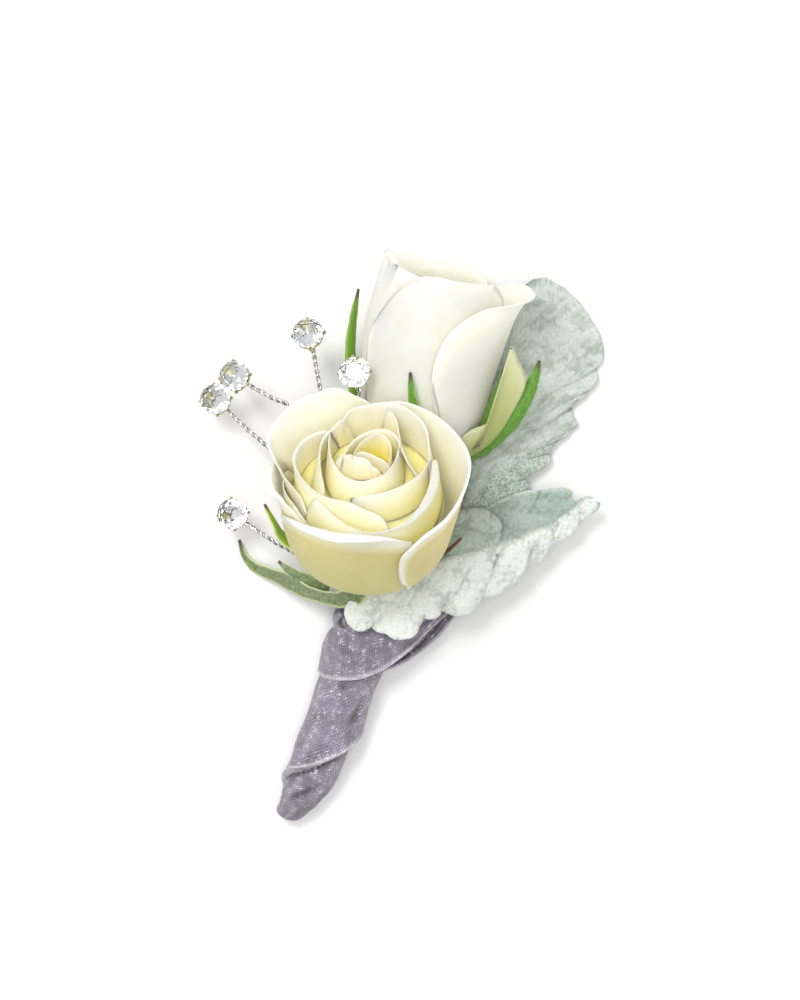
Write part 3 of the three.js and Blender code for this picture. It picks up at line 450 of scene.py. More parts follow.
# Big front petal, big right petal with the flared rim, left petal with its tip, back petal, small outer
# petal, then the inner ones
BUD_PETALS = [
    dict(rim=[[13.4, 215, 12], [14.3, 211, 17], [14.8, 208, 23], [15, 207, 28], [14.6, 210, 32],
              [14.0, 219, 36.6], [13.6, 232, 40.6], [13.2, 246, 43.1], [12.6, 260, 44.1], [12.0, 275, 43.8],
              [11.6, 300, 43.1], [11.8, 331, 42.8], [13.0, 345, 40], [13.6, 356, 34]],
         girth=[1.02, 1.01, 1.0, 0.955, 0.9], curl=[0.06, 0.1, 0.1, 0.06], roll=[60, 60], depth=0.1,
         wave=0.1),
    dict(rim=[[10.3, 300, 7], [13.2, 290, 13], [14.2, 277, 21], [14.6, 273, 26], [15, 276, 30.8],
              [15.2, 283, 34.3], [15.4, 293, 36.9], [15.8, 305, 38.9], [16.4, 318, 39.7], [17.4, 333, 40.5],
              [18.3, 352, 41.2], [17.8, 372, 41.4], [16.6, 392, 40.8], [15.6, 410, 38]],
         margin=[[0, 312], [7, 300], [13, 290], [21, 277], [26, 273]],
         girth=[1.01, 1.02, 1.01, 0.97, 0.95, 0.95, 0.95], lean=8,
         curl=[0.05, 0.1, 0.15, 0.3, 0.6, 0.5, 0.2], roll=[60, 60, 80, 110, 120, 100, 80],
         depth=0, wave=0.1),
    dict(rim=[[13.4, 140, 36], [13.2, 158, 40], [13.0, 176, 41.5], [13.2, 190, 43], [14.2, 202, 45.6],
              [12.9, 207, 44.2], [11.9, 216, 43.9], [11.6, 234, 43.3], [11.4, 250, 42.6]], wall=(140, 250),
         girth=[1.0, 1.0, 0.99, 0.95, 0.9], lean=7, curl=[0.1, 0.1], roll=[60, 60], depth=0.05, wave=0.1),
    dict(rim=[[12.6, 30, 38], [12.8, 46, 41], [12.6, 66, 42.1], [12.4, 86, 42.8], [12.4, 103, 42.4],
              [12.6, 122, 42.7], [13.0, 145, 43.4], [13.2, 173, 44], [12.9, 204, 46.9], [12, 214, 44]],
         wall=(30, 214), girth=[0.9, 0.96, 1, 0.97, 0.88], lean=7, curl=[0.1, 0.1], roll=[60, 60],
         depth=0.05, wave=0.12),
    dict(rim=[[11.8, 314, 9.6], [13.2, 324, 12.3], [15.3, 335, 14.1], [15.7, 337, 17.4], [16.4, 336, 20.5],
              [17.2, 335, 24.7], [17.8, 332, 29], [18.3, 331, 31.6], [19.2, 338, 28.7], [20.2, 345, 25.7],
              [20.6, 349, 22.8], [19.4, 354, 18.3], [17.6, 358, 13.3]],
         girth=[1.06, 1.06], lean=1.6, curl=[0.12, 0.12], roll=[50, 50], young=1.55, depth=0, wave=0.06),
    dict(rim=[[10.5, -160, 38], [10.4, -140, 42], [10.2, -110, 43], [10, -70, 43.2], [10, -30, 42.6],
              [10.2, 0, 40]],
         girth=[0.84, 0.84], curl=[0.15, 0.15], roll=[60, 60], depth=0.3),
    dict(rim=[[8.6, -5, 38], [9.4, 30, 41.8], [9.6, 70, 42.4], [9.4, 110, 42], [8.4, 150, 39]],
         girth=[0.74, 0.74], curl=[0.15, 0.15], roll=[60, 60], depth=0.5),
    dict(rim=[[4.8, 110, 37], [4.9, 150, 40.4], [4.7, 190, 41.4], [4.2, 230, 41.2], [3.2, 275, 38]],
         girth=[0.5, 0.5], curl=[0.1, 0.1], roll=[60, 60], depth=0.6),
    dict(rim=[[2.4, -90, 36], [3.4, -45, 39.8], [3.6, 0, 40.6], [3.4, 40, 40.2], [3, 90, 37]],
         girth=[0.4, 0.4], curl=[0.1, 0.1], roll=[60, 60], depth=0.6),
    dict(rim=[[2.4, 70, 36], [2, 120, 39.6], [1.4, 180, 40.4], [0.9, 240, 39.8], [0.6, 330, 37]],
         girth=[0.36, 0.36], curl=[0.1, 0.1], roll=[60, 60], depth=0.6),
]
bud_petal = petal_finish("fresh bud petal, greenish white", rim="#faf9e8", body="#faf9de", fold="#f0f1c0",
                         heart="#eaedb0", base="#ced98a", outer="#fdfbe4", outer_base="#e4ecb0",
                         green="#a9b26e")
bud_heart = lathe(BUD["frame"], [[0, -0.3], [3.4, -0.3], [5, 3], [4.6, 14], [3, 24], [1, 31], [0, 32]], 24,
                  {"reach": 0.8, "outer": 0, "depth": 0.6, "across": 0.5, "which": 0, "young": 0.3})
young_petals = [petal(BUD, form, seed) for seed, form in enumerate(BUD_PETALS, 21)]
piece("bud_petals", young_petals + [bud_heart], "rose_bud_petals", bud_petal)


# Calyxes
# Under each bloom sits a green hip with sepals that have folded back from the petals: smooth and bright
# green inside, felted grey-green outside, with pale woolly edges and dry brown tips. The stem runs down
# from the hip into the wound handle. All of it is one growth.
SEPAL_THICK, THINNER_EDGE = 0.55, 0.3


def path(points, t):
    """Point at t, 0 to 1, on the smooth centripetal curve through the points: each span is the cubic with
    slopes taken from its neighbours, weighted by the square roots of the distances between them."""
    p = np.asarray(points, float)
    p = np.concatenate([[2 * p[0] - p[1]], p, [2 * p[-1] - p[-2]]])
    spans = len(p) - 3
    at = np.clip(t, 0, 1) * spans
    i = np.minimum(np.floor(at).astype(int), spans - 1)
    f = (at - i)[..., None]
    a, b, c, d = p[i], p[i + 1], p[i + 2], p[i + 3]
    ta, tb, tc = (np.maximum(np.linalg.norm(q - r, axis=-1, keepdims=True) ** 0.5, 1e-3)
                  for q, r in ((b, a), (c, b), (d, c)))
    m = tb * ((b - a) / ta - (c - a) / (ta + tb) + (c - b) / tb)
    n = tb * ((c - b) / tb - (d - b) / (tb + tc) + (d - c) / tc)
    return b + f * (m + f * (3 * (c - b) - 2 * m - n + f * (2 * (b - c) + m + n)))


def sepal(points, faces, widths, keel, seed, dry=0.0, columns=17, rows=70):
    """Closed sepal: at each station its width lies across the path, at right angles to the way it faces;
    its sides bend back by keel times the square of the distance from the midrib, and its edge has fine
    teeth. The higher dry is, the nearer to its base the dried tip starts."""
    draw = np.random.default_rng(seed)
    v = np.linspace(0, 1, rows)
    line = path(points, v)
    facing = unit(path(faces, v))
    side = unit(np.cross(np.gradient(line, axis=0), facing))
    half = through(widths, v) / 2
    across = np.linspace(-1, 1, columns)[None, :]
    tooth = 1 + 0.07 * np.sin(61 * v + draw.uniform(0, 6)) * np.sin(23 * v + draw.uniform(0, 6))
    wide = (half * tooth)[:, None] * across
    curve = -keel * half[:, None] * across ** 2
    rib = 0.14 * np.exp(-(across / 0.16) ** 2) * np.minimum(1, half[:, None])
    waver = 0.25 * np.abs(across) ** 2 * np.sin(17 * v + draw.uniform(0, 6))[:, None] * half[:, None] * 0.3
    grid = line[:, None, :] + wide[..., None] * side[:, None, :]
    grid = grid + (curve + rib + waver)[..., None] * facing[:, None, :]
    thick = SEPAL_THICK - THINNER_EDGE * np.abs(across) ** 3 * np.ones((rows, 1))
    sheet, quads, front = closed_sheet(grid, thick)
    along = np.minimum(v * (1 + dry), 1)[:, None]
    return sheet, [quads], {"outer": front, **on_both((rows, columns), along=along, edge=np.abs(across))}


def bloom_sepal(bloom, stations, widths, seed, dry=0.0):
    """Sepal along (radius, azimuth, height) stations of a bloom, facing away from its axis."""
    r, a, h = np.array(stations, float).T
    low = np.where(np.arange(len(r)) < 2, -2, -0.25)
    faces = in_bloom(bloom, np.ones(len(r)), a, low) - bloom[0]
    return sepal(in_bloom(bloom, r, a, h), faces, widths, -0.35, seed, dry)


def carried_frames(line):
    """Two directions at right angles to the line at each point, carried along it without twist."""
    tangent = unit(np.gradient(line, axis=0))
    first = np.zeros_like(line)
    start = np.array([1.0, 0, 0]) if abs(tangent[0, 0]) < 0.9 else np.array([0, 0, 1.0])
    for i, t in enumerate(tangent):
        start = start - t * (start @ t)
        start = first[i] = start / np.linalg.norm(start)
    return first, np.cross(tangent, first)


def tube(line, radius, sides, extra):
    """Closed round tube: rings of the radius on the line's two carried directions."""
    first, second = carried_frames(line)
    a = np.linspace(0, 2 * np.pi, sides, endpoint=False)
    r = np.broadcast_to(radius, len(line))[:, None, None]
    spokes = np.cos(a)[None, :, None] * first[:, None, :] + np.sin(a)[None, :, None] * second[:, None, :]
    return ringed(line[:, None, :] + r * spokes, np.stack([line[0], line[-1]]), extra)


STEM_RADIUS, STALK_RADIUS = 1.45, 0.85
STEM = {"along": 0.2, "edge": 0.0, "outer": 1.0}
HIP = [[0, -8], [1.45, -8], [1.9, -6.5], [3.1, -5], [3.7, -3.4], [3.7, -2.1], [3.1, -1.2], [2.4, -0.9],
       [0, -0.9]]


def rose_stem(points):
    """Closed round stem along a path."""
    return tube(path(points, np.linspace(0, 1, 90)), STEM_RADIUS, 16, STEM)


def sepal_finish(name, inner, inner_patch, outer, felt, tip, wool_edge):
    """Rose sepal and stem: green leaf skin, satin inside; outside it is downy, so it reads paler and matt,
    palest at its woolly edges. Its tip, from nine tenths along, has dried to brown."""
    material, shader = new_material(name)
    place = object_place(material)
    down = noise(material, place, 1500.0, 4.0, 0.7)
    smooth_face = blend_colours(material, noise(material, place, 240.0, 3.0), inner, inner_patch)
    hairs = ramp(material, down, [(0.38, outer), (0.66, felt)])
    skin = blend_colours(material, attribute(material, "outer"), smooth_face, (hairs, 0))
    woolly = mask(material, attribute(material, "edge"), 0.74, 0.97, wool_edge)
    skin = blend_colours(material, woolly, skin, "#c9cf9f")
    dried = mask(material, attribute(material, "along"), 0.91, 0.98)
    skin = blend_colours(material, dried, skin, tip)
    return dress(material, shader, skin, down, 0.35, 0.0003, Roughness=0.6, Subsurface_Weight=0.2,
                 Subsurface_Radius=(0.5, 1.0, 0.3), Subsurface_Scale=0.0008, Sheen_Weight=0.15)


rose_sepal = sepal_finish("downy rose sepal, dull green", inner="#84a41c", inner_patch="#759a18",
                          outer="#4f6636", felt="#8c9c6c", tip="#5a3a26", wool_edge="#f4f4f4")
bud_sepal = sepal_finish("downy bud sepal, bright green", inner="#6c9a1c", inner_patch="#5f8c14",
                         outer="#457e16", felt="#6c9a36", tip="#4a3a24", wool_edge="#8a8a8a")
OPEN = OPEN_ROSE["frame"]
piece("open_rose_calyx", [
    lathe(OPEN, HIP, 32, STEM),
    rose_stem([[0.3, -6.4, 15.7], [1.1, -9.4, 11], [1.8, -13.4, 8.4], [2.2, -19, 6.9], [0.9, -27.4, 6],
               [0.4, -35.2, 5.9], [0, -43, 5.8], [-0.1, -47.5, 5.6]]),
    sepal([[0.1, -5, 18.7], [0.8, -9.4, 18.6], [-1, -12.8, 18.2], [-4, -14.2, 16.2], [-10, -14.7, 11],
           [-17, -13.7, 5.8], [-23.3, -13, 1.5], [-25.6, -11.5, 1.5], [-27.5, -8.7, 2]],
          [[-0.6, -0.7, 0.2], [-0.5, -0.8, 0.5], [0.1, -0.8, 0.8], [0.2, -0.7, 1], [0.1, -0.6, 1],
           [0, -0.5, 1]], [2.6, 4, 4.8, 4.8, 4.8, 4.4, 2.4, 1.4, 0.5], -0.3, 1),
    sepal([[-6.2, -13.8, 13.2], [-10.6, -13, 12.2], [-14.6, -12.2, 11.8], [-18, -10.6, 11.2]],
          [[0.2, -0.6, 1], [0.2, -0.6, 1]], [2.4, 2.8, 2, 0.5], 0.5, 2),
    bloom_sepal(OPEN, [[2.6, 184, -1.6], [8, 182, -0.6], [13.6, 180, 1.6], [17.6, 178, 4.8],
                       [19.4, 175, 8.2], [21.4, 171, 11.4]], [2.4, 4, 4.2, 3.6, 2.2, 0.5], 3),
    bloom_sepal(OPEN, [[2.6, -26, -1.6], [8, -20, -0.9], [13.4, -11, 0.4], [16.4, -5, 1.8], [19.4, 1, 3.8]],
                [2.2, 3.2, 2.6, 1.6, 0.5], 4, 0.6),
    *[bloom_sepal(OPEN, [[2.6, a, -1.6], [7, a, -1], [11, a, 0.4]], [2.4, 3.2, 0.8], a) for a in (44, 298)],
], "rose_open_calyx", rose_sepal)
SMALL = BUD["frame"]
piece("bud_calyx", [
    lathe(SMALL, HIP, 32, STEM),
    rose_stem([[4.2, 9, 7.5], [5.2, 4.5, 7], [7.2, -4, 6.9], [7.8, -12, 7], [6.4, -20, 6.6],
               [4.9, -27.4, 6], [4.6, -35.2, 5.9], [4.3, -43, 5.8], [4, -47.5, 5.6]]),
    bloom_sepal(SMALL, [[2.6, 150, -1.6], [7, 155, -0.6], [11.4, 158, 5], [14.9, 157, 11.2],
                        [17.4, 156.5, 19.1], [18.7, 155, 24.3], [18.7, 157, 29.9], [18.4, 161, 34.6]],
                [2.4, 3.6, 4, 4.2, 4.2, 3.8, 2.8, 0.6], 7),
    bloom_sepal(SMALL, [[2.6, -80, -1.6], [6.4, -82, -0.8], [9.6, -83, 4.4], [12.1, -86, 8.6],
                        [14.2, -90, 12.9], [15, -95, 16.3], [15.6, -100, 20.3], [16.4, -103, 24.4]],
                [2.4, 3, 3, 3, 2.7, 2.2, 1.6, 0.5], 8),
    sepal([[5, 16, 7.4], [8.8, 17.4, 8.4], [13.6, 20.9, 11], [16.9, 24.2, 12], [20.8, 31.2, 14.5],
           [22.4, 37.2, 16], [22.8, 40.8, 16.8], [22.8, 44.7, 17.5]],
          [[0.4, -0.6, -0.8], [0.6, -0.7, 0.2], [0.4, -0.5, 0.9], [0.3, -0.4, 1], [0.2, -0.2, 1],
           [0.2, -0.2, 1]],
          [2.4, 3.6, 4.4, 4.6, 4.2, 3.2, 2.2, 0.5], 0.3, 9),
    sepal([[6.2, 16.4, 8.2], [9.8, 19.4, 11.6], [13.6, 23.2, 13.4], [15.4, 27.4, 14], [16, 31.4, 14.4],
           [16.3, 35.4, 14.8], [16.4, 38.6, 15.4], [16.1, 41, 16]],
          [[0.6, -0.7, 0.6], [0.5, -0.4, 1], [0.4, -0.2, 1], [0.3, -0.1, 1]],
          [2, 2.6, 2.8, 2.8, 2.6, 2.2, 1.4, 0.4], 0.2, 10),
    bloom_sepal(SMALL, [[2.6, 92, -1.6], [5, 92, -1.4], [7.6, 92, -0.8]], [2.4, 2.8, 0.8], 92),
], "rose_bud_calyx", bud_sepal)


# Silver leaves
# Three leaves of a felted silver foliage plant, thick and soft, with blunt scalloped lobes. The upper one
# lies flat behind the bud, the lower one is folded so that its white woolly back shows along the scallops,
# and a small round one fills the gap. Their stalks go down into the handle with the stems.
LEAF_LOWEST = 0.4


def soft_noise(points, size, seed, layers=14):
    """Smooth noise round 0 with bumps about size mm across: the mean of sine waves in random directions."""
    draw = np.random.default_rng(seed)
    waves = draw.normal(size=(layers, 3))
    stretch = (2 * np.pi / (size * 2)) * draw.uniform(0.7, 1.4, (layers, 1))
    waves *= stretch / np.linalg.norm(waves, axis=1, keepdims=True)
    turns = points @ waves.T + draw.uniform(0, 2 * np.pi, layers)
    return np.sin(turns).sum(-1) / math.sqrt(layers / 2) / 2


def cushions(down, creases, puff):
    """Height of the cushions between creases across the blade: half sines to the power 0.6, puff high."""
    edges = np.concatenate([[0], creases, [1]])
    i = np.clip(np.searchsorted(edges, down) - 1, 0, len(edges) - 2)
    t = (down - edges[i]) / (edges[i + 1] - edges[i])
    return puff * np.sin(np.pi * np.clip(t, 0, 1)) ** 0.6 * np.minimum(1, (edges[i + 1] - edges[i]) * 9)


def leaf(form, seed, columns=71, rows=300):
    """Closed leaf between its two margins over a ridge. Each flank swells between creases that run from
    the ridge to the notches in the margin, and the blade crumples in low soft noise; the margin is finely
    toothed."""
    u = np.linspace(0, 1, columns)[None, :]
    v = np.linspace(0, 1, rows)
    ridge, left, right = (path(form[key], v)[:, None, :] for key in ("ridge", "left", "right"))
    across = 2 * u - 1
    flank = np.abs(across)
    down = v[:, None]
    on_right = across > 0
    side = np.where(on_right[..., None], right - ridge, left - ridge)
    grid = ridge + side * flank[..., None]
    width = np.linalg.norm(side, axis=-1)
    tooth = form["tooth"] * soft_noise(grid, 1.3, seed + 5) * flank ** 6
    grid = grid + unit(side) * (tooth * np.minimum(1, width / 4))[..., None]
    swell = np.where(on_right, form["swell"][1], form["swell"][0])
    lift = np.sin(np.pi * flank ** 0.8) * swell * np.sin(np.pi * np.clip(down, 0.02, 0.98)) ** 0.5
    bent = np.clip(down + form["bend"] * soft_noise(grid, 5, seed + 7), 0, 1)
    tail = smooth(1 - down, 0, 0.1)
    puffed = np.where(on_right, cushions(bent, form["creases"], form["puff"]) * tail,
                      cushions(bent, form["left_creases"], form["left_puff"]))
    frill = cushions(bent, form["frill"], form["frill_puff"]) * flank ** 4 * on_right * tail
    grid[..., 2] += lift
    top = unit(surface_normals(grid))
    top = top * np.sign(top[..., 2:3] + 1e-9)
    grid = grid + top * (puffed * flank ** form["fade"] * (1 - 0.35 * flank ** 8) + frill)[..., None]
    rough = np.where(on_right, form["pucker"][1], form["pucker"][0]) * smooth(flank, 0, 0.15)
    fine = 0.65 * soft_noise(grid, 0.9, seed) + 0.5 * soft_noise(grid, 0.45, seed + 1)
    broad = soft_noise(grid, 2.6, seed + 2)
    grid = grid + surface_normals(grid) * (rough * (fine + 1.5 * broad))[..., None]
    grid[..., 2] = np.maximum(grid[..., 2], LEAF_LOWEST)
    end = np.minimum(smooth(down, 0, 0.02), smooth(1 - down, 0, 0.02))
    thick = 0.2 + form["thick"] * (1 - flank ** 8) * end
    points, quads, _ = closed_sheet(grid, thick)
    # Marks for painted shade: hollow is low in the fine pucker, crease is low in the creases between
    # cushions.
    hollow = np.clip(0.5 + 0.5 * (0.7 * fine + 0.5 * broad), 0, 1)
    most = np.where(on_right, form["puff"], form["left_puff"])
    crease = 1 - (1 - np.clip(puffed / np.maximum(most, 0.01), 0, 1)) ** 2 * flank ** (form["fade"] + 0.2)
    bare = form["bare"] * (1 - smooth(down, 0.25, 0.6)) * smooth(flank, 0, 0.3)
    marks = on_both((rows, columns), flank=flank, right=smooth(across, -0.12, 0.12), crease=crease,
                    hollow=hollow, bare=bare)
    stem = tube(path(form["stalk"], np.linspace(0, 1, 70)), STALK_RADIUS, 12,
                {"flank": 0.3, "right": form["stalk_white"], "crease": 1.0, "hollow": 0.5, "bare": 0.0})
    return [(points, [quads], marks), stem]


def felt_finish(name, skin_green, skin_pale, wool, wool_shade, bare_green, show_wool, dense=0.0):
    """Silver leaf: a dull green blade under a coat of white woolly hairs, quite matt. Where the wool is
    thin, green specks show between tufts about 0.5 mm apart, drawn a little coarser than life so that
    they show."""
    material, shader = new_material(name)
    place = object_place(material)
    tuft = noise(material, place, 1700.0, 5.0, 0.75)
    worn = noise(material, place, 190.0, 5.0, 0.65)
    right, flank = attribute(material, "right"), attribute(material, "flank")
    blade = blend_colours(material, mask(material, worn, 0.36, 0.64), skin_green, skin_pale)
    thin = maths(material, "SUBTRACT", tuft, maths(material, "MULTIPLY", worn, 0.55))
    coat = blend_colours(material, mask(material, tuft, 0.3, 0.7), wool_shade, wool)
    on_left = maths(material, "MULTIPLY", maths(material, "SUBTRACT", 1.0, right), show_wool[0])
    cover = maths(material, "ADD", maths(material, "MULTIPLY", right, show_wool[1]), on_left)
    cover = maths(material, "MAXIMUM", cover, mask(material, flank, 0.86, 0.99, "#e0e0e0"))
    speck = maths(material, "MULTIPLY", mask(material, thin, 0.12, 0.32), 0.5)
    amount = maths(material, "MULTIPLY", cover, maths(material, "ADD", speck, 0.6), True)
    thick_wool = maths(material, "MULTIPLY", maths(material, "POWER", cover, 4.0), dense)
    skin = blend_colours(material, maths(material, "ADD", amount, thick_wool, True), blade, coat)
    grit = mask(material, noise(material, place, 2000.0, 2.0, 0.8), 0.46, 0.58)
    bald = maths(material, "MULTIPLY", attribute(material, "bare"), grit)
    skin = blend_colours(material, bald, skin, bare_green)
    # Painted shade: darker down in the fine hollows of the pucker.
    painted_hollow_shade = ramp(material, attribute(material, "hollow"), [(0.15, "#c2cabf"), (0.6, "#ffffff")])
    skin = blend_colours(material, 0.7, skin, (painted_hollow_shade, 0), "MULTIPLY")
    # Painted shade: darker along the creases between the cushions.
    painted_furrow_shade = ramp(material, attribute(material, "crease"), [(0.1, "#8f9c90"), (0.7, "#ffffff")])
    skin = blend_colours(material, 0.9, skin, (painted_furrow_shade, 0), "MULTIPLY")
    return dress(material, shader, skin, tuft, 0.5, 0.0003, Roughness=0.95, Specular_IOR_Level=0.1,
                 Sheen_Weight=0.45, Sheen_Roughness=0.6, Subsurface_Weight=0.15,
                 Subsurface_Radius=(0.8, 1.0, 0.8), Subsurface_Scale=0.0006)


UPPER_LEAF = dict(
    stalk=[[18.2, 10.4, 6.3], [16.8, 2.6, 6.2], [15, -6, 6], [12, -12.5, 5], [8, -19.4, 3.9],
           [4.8, -24.6, 3.4], [3.4, -29, 3.2]],
    ridge=[[16.6, 10.4, 7], [16.7, 12.4, 6.8], [16.8, 14, 6.4], [16.9, 15.4, 6], [17, 16.8, 5.6],
           [17, 18.6, 5.2], [17, 21.4, 4.8], [17, 26, 4.4], [16.8, 33, 4], [16.4, 42, 4], [15.6, 51, 4.2],
           [15, 58.4, 4.6]],
    left=[[15.4, 12.4, 6], [13.7, 18.5, 4.4], [13.4, 27.1, 3.4], [13.4, 35.7, 2.6], [13, 44.2, 2.6],
          [12.6, 51.1, 3.4], [13, 55.8, 4.2], [13.8, 58.3, 4.6]],
    right=[[17.6, 6, 6.4], [20.6, 10.4, 6.4], [22.4, 12.6, 6.4], [24.8, 14.9, 5.6], [27.3, 17.1, 4.6],
           [28.2, 18.7, 4], [27.1, 20.1, 3.8], [28.2, 21.8, 3.4], [30, 23.2, 2.8], [30.9, 25.4, 2.2],
           [30.5, 27.7, 2], [31.9, 30.8, 1.8], [33.6, 33, 1.6], [34.3, 34.6, 1.6], [32.8, 36.1, 1.2],
           [32.8, 39, 1.4], [34.1, 41.3, 1.8], [35.7, 43.6, 1.8], [35.9, 45.4, 1.4], [35.2, 46.7, 1],
           [35.8, 49.5, 0.8], [35.3, 51.8, 0.9], [33.5, 54.2, 1.2], [31, 56.7, 1.6], [27.6, 59.3, 2.2],
           [24.1, 61.3, 3], [20.6, 62.1, 3.8], [17.6, 61.6, 4.4], [15.6, 59.6, 4.6]],
    swell=[0.3, 0.2], tooth=0.25, thick=0.5, pucker=[0.08, 0.1], stalk_white=0.3, fade=0.8, bend=0.014,
    bare=0.9, creases=[0.1, 0.214, 0.29, 0.357, 0.44, 0.515, 0.6, 0.68], puff=1.2, left_creases=[0.5],
    left_puff=0.2, frill_puff=0.5,
    frill=[0.05, 0.12, 0.17, 0.214, 0.25, 0.3, 0.357, 0.4, 0.46, 0.515, 0.55, 0.6, 0.64, 0.68, 0.74, 0.8,
           0.87, 0.93])
LOWER_LEAF = dict(
    stalk=[[7.2, -8.6, 15.6], [6.7, -11.2, 12.8], [6.2, -14.2, 10.5], [5.9, -18.6, 9.5], [5.7, -22.4, 9.2],
           [5.2, -27.4, 8.8]],
    ridge=[[4.6, -9.4, 15.6], [6.8, -7.9, 16.2], [8.9, -6.2, 16.8], [11.3, -3.9, 17], [13.8, -1.9, 17],
           [17.2, 0.5, 17], [20.9, 2.7, 17], [23.8, 4.6, 16.6], [26.6, 6.3, 16], [29.3, 7.7, 15.2],
           [31.3, 9.6, 14.4], [34.6, 12, 13], [36.7, 14.6, 11.8], [38.7, 17.1, 10.6], [39.9, 19.2, 9.6],
           [41.8, 20.2, 8.9]],
    left=[[4.3, -8.2, 15], [6.5, -3.6, 14], [10.2, 2.2, 11.8], [15.4, 6.9, 9.8], [19.8, 11, 8.8],
          [24.1, 15.1, 8.4], [28.1, 17.9, 8.6], [31.6, 19.2, 9], [33.7, 20.3, 9.4], [35.7, 20.9, 9.6],
          [37.1, 20.4, 9.6], [38.2, 19.1, 9.4], [39.6, 20.1, 9.2], [41.5, 20.6, 8.9]],
    right=[[4.8, -9.8, 15.2], [2.2, -11.6, 15.2], [-0.3, -13.4, 15], [-1.3, -15.6, 14.6], [-1, -17.5, 14.4],
           [0.5, -19.1, 14.4], [2.5, -19.3, 14.6], [4.2, -18.5, 14.8], [6, -18.5, 14.9], [8.6, -18.7, 15],
           [10.7, -18.5, 15], [12, -17, 15], [12.2, -14.8, 15], [11.4, -13.1, 15], [10.1, -11.9, 15.2],
           [11.6, -12.6, 15], [13.9, -12.9, 14.8], [16.2, -11.7, 14.4], [17.1, -10.4, 14.2],
           [19.1, -10.5, 13.8], [21.2, -9.7, 13], [22.7, -7.7, 12.2], [22.7, -6, 11.9], [21.1, -4.5, 12],
           [22.9, -5.4, 11.4], [24.6, -4.6, 11], [26.6, -3.2, 10.4], [28.3, -1.5, 9.8], [29.7, -1, 9.4],
           [29.7, 1, 9.2], [29, 2.3, 9.2], [30.9, 3.4, 8.8], [32.7, 4.9, 8.5], [33.2, 6.8, 8.3],
           [32.5, 7.9, 8.4], [34.2, 8.8, 8.2], [36.3, 10.6, 8], [38.2, 12.4, 8], [39.6, 13.6, 8],
           [40.1, 15.5, 8.1], [41.6, 17.1, 8.2], [43.2, 18.5, 8.3], [43.4, 19.9, 8.5]],
    swell=[-2, 1.2], tooth=0.25, thick=0.6, pucker=[0.03, 0.16], stalk_white=0.8, fade=1.3, bend=0.014,
    bare=0, creases=[0.167, 0.334, 0.429, 0.548, 0.714, 0.81, 0.905], puff=2.6,
    left_creases=[0.3, 0.52, 0.76], left_puff=0.5, frill_puff=1.1,
    frill=[0.05, 0.11, 0.167, 0.22, 0.27, 0.334, 0.38, 0.429, 0.48, 0.52, 0.548, 0.6, 0.66, 0.714, 0.76,
           0.81, 0.86, 0.905, 0.95])
SMALL_LEAF = dict(
    stalk=[[12.8, 3, 14.8], [7.6, -0.6, 14], [4.6, -5.6, 12.6], [3.8, -11, 11.5], [3, -16, 10.4],
           [3, -22.4, 10.1], [3.2, -28, 9.7]],
    ridge=[[11.8, 1.6, 14.4], [14.9, 5.4, 15], [18.3, 6.6, 15.5], [22.3, 7, 15.4], [25, 8, 14.8]],
    left=[[11.6, 3, 14], [13.9, 8.5, 13.8], [17.1, 10.9, 13.6], [20.8, 11.7, 13.6], [23.4, 10.8, 14],
          [24.8, 9, 14.6]],
    right=[[12, 0.6, 15.2], [17.1, 0.7, 16.4], [20.5, 1.9, 16.8], [23.4, 3.8, 16.4], [24.9, 6.2, 15.6],
           [25.1, 8, 15]],
    swell=[0.6, 0.6], tooth=0.05, thick=0.5, pucker=[0.09, 0.09], stalk_white=0.2, fade=1.0, bend=0,
    bare=0.4, creases=[0.35, 0.65], puff=0.4, left_creases=[0.4, 0.7], left_puff=0.4, frill=[0.5],
    frill_puff=0)
piece("silver_leaf_upper", leaf(UPPER_LEAF, 31), "leaf_upper",
      felt_finish("thinly felted silver leaf", skin_green="#8c9e92", skin_pale="#adb7b0", wool="#e9eae6",
                  wool_shade="#c5cbc3", bare_green="#78987f", show_wool=(0.22, 0.46)))
piece("silver_leaf_lower", leaf(LOWER_LEAF, 41), "leaf_lower",
      felt_finish("thickly felted silver leaf", skin_green="#7f978a", skin_pale="#99aa9f", wool="#e6e7e3",
                  wool_shade="#cbd1c9", bare_green="#86a091", show_wool=(0.14, 1.0), dense=0.3))
piece("silver_leaf_small", leaf(SMALL_LEAF, 51, columns=41, rows=80), "leaf_small",
      felt_finish("worn silver leaf", skin_green="#829a8b", skin_pale="#a5b5a8", wool="#d8ddd6",
                  wool_shade="#a4b1a6", bare_green="#5f7c6a", show_wool=(0.5, 0.4)))


# Ribbon handle
# A sheer woven ribbon, grey with a violet cast, is wound up the stems in overlapping turns from the tip,
# finished with one wider loose turn under the flowers that flares out to the right and folds back behind
# them, and its end is tucked in as a small knot. Its shiny yarn is glossier in spots that carry painted
# glints, and its creases, laps and the turn behind carry painted shade.
HANDLE = [[-1.6, -60.6, 4.6], [-0.3, -56.4, 5], [1.4, -50.7, 5.4], [2, -43, 5.7], [2.4, -35.2, 6],
          [2.8, -27.4, 6.3], [4.2, -21.4, 6.6]]
HANDLE_RADII = [2.1, 3.8, 4.7, 5.2, 5.4, 5.6, 6.2]
# Rise of the helix in one turn, step at each lap, way once round the handle and its mean radius, in mm
PITCH, STEP, ROUND, MEAN_RADIUS = 28, 1.2, 34, 5.4
RIBBON_LOWEST, RIBBON_THICK, THREAD_SPACING = 0.02, 0.5, 0.5


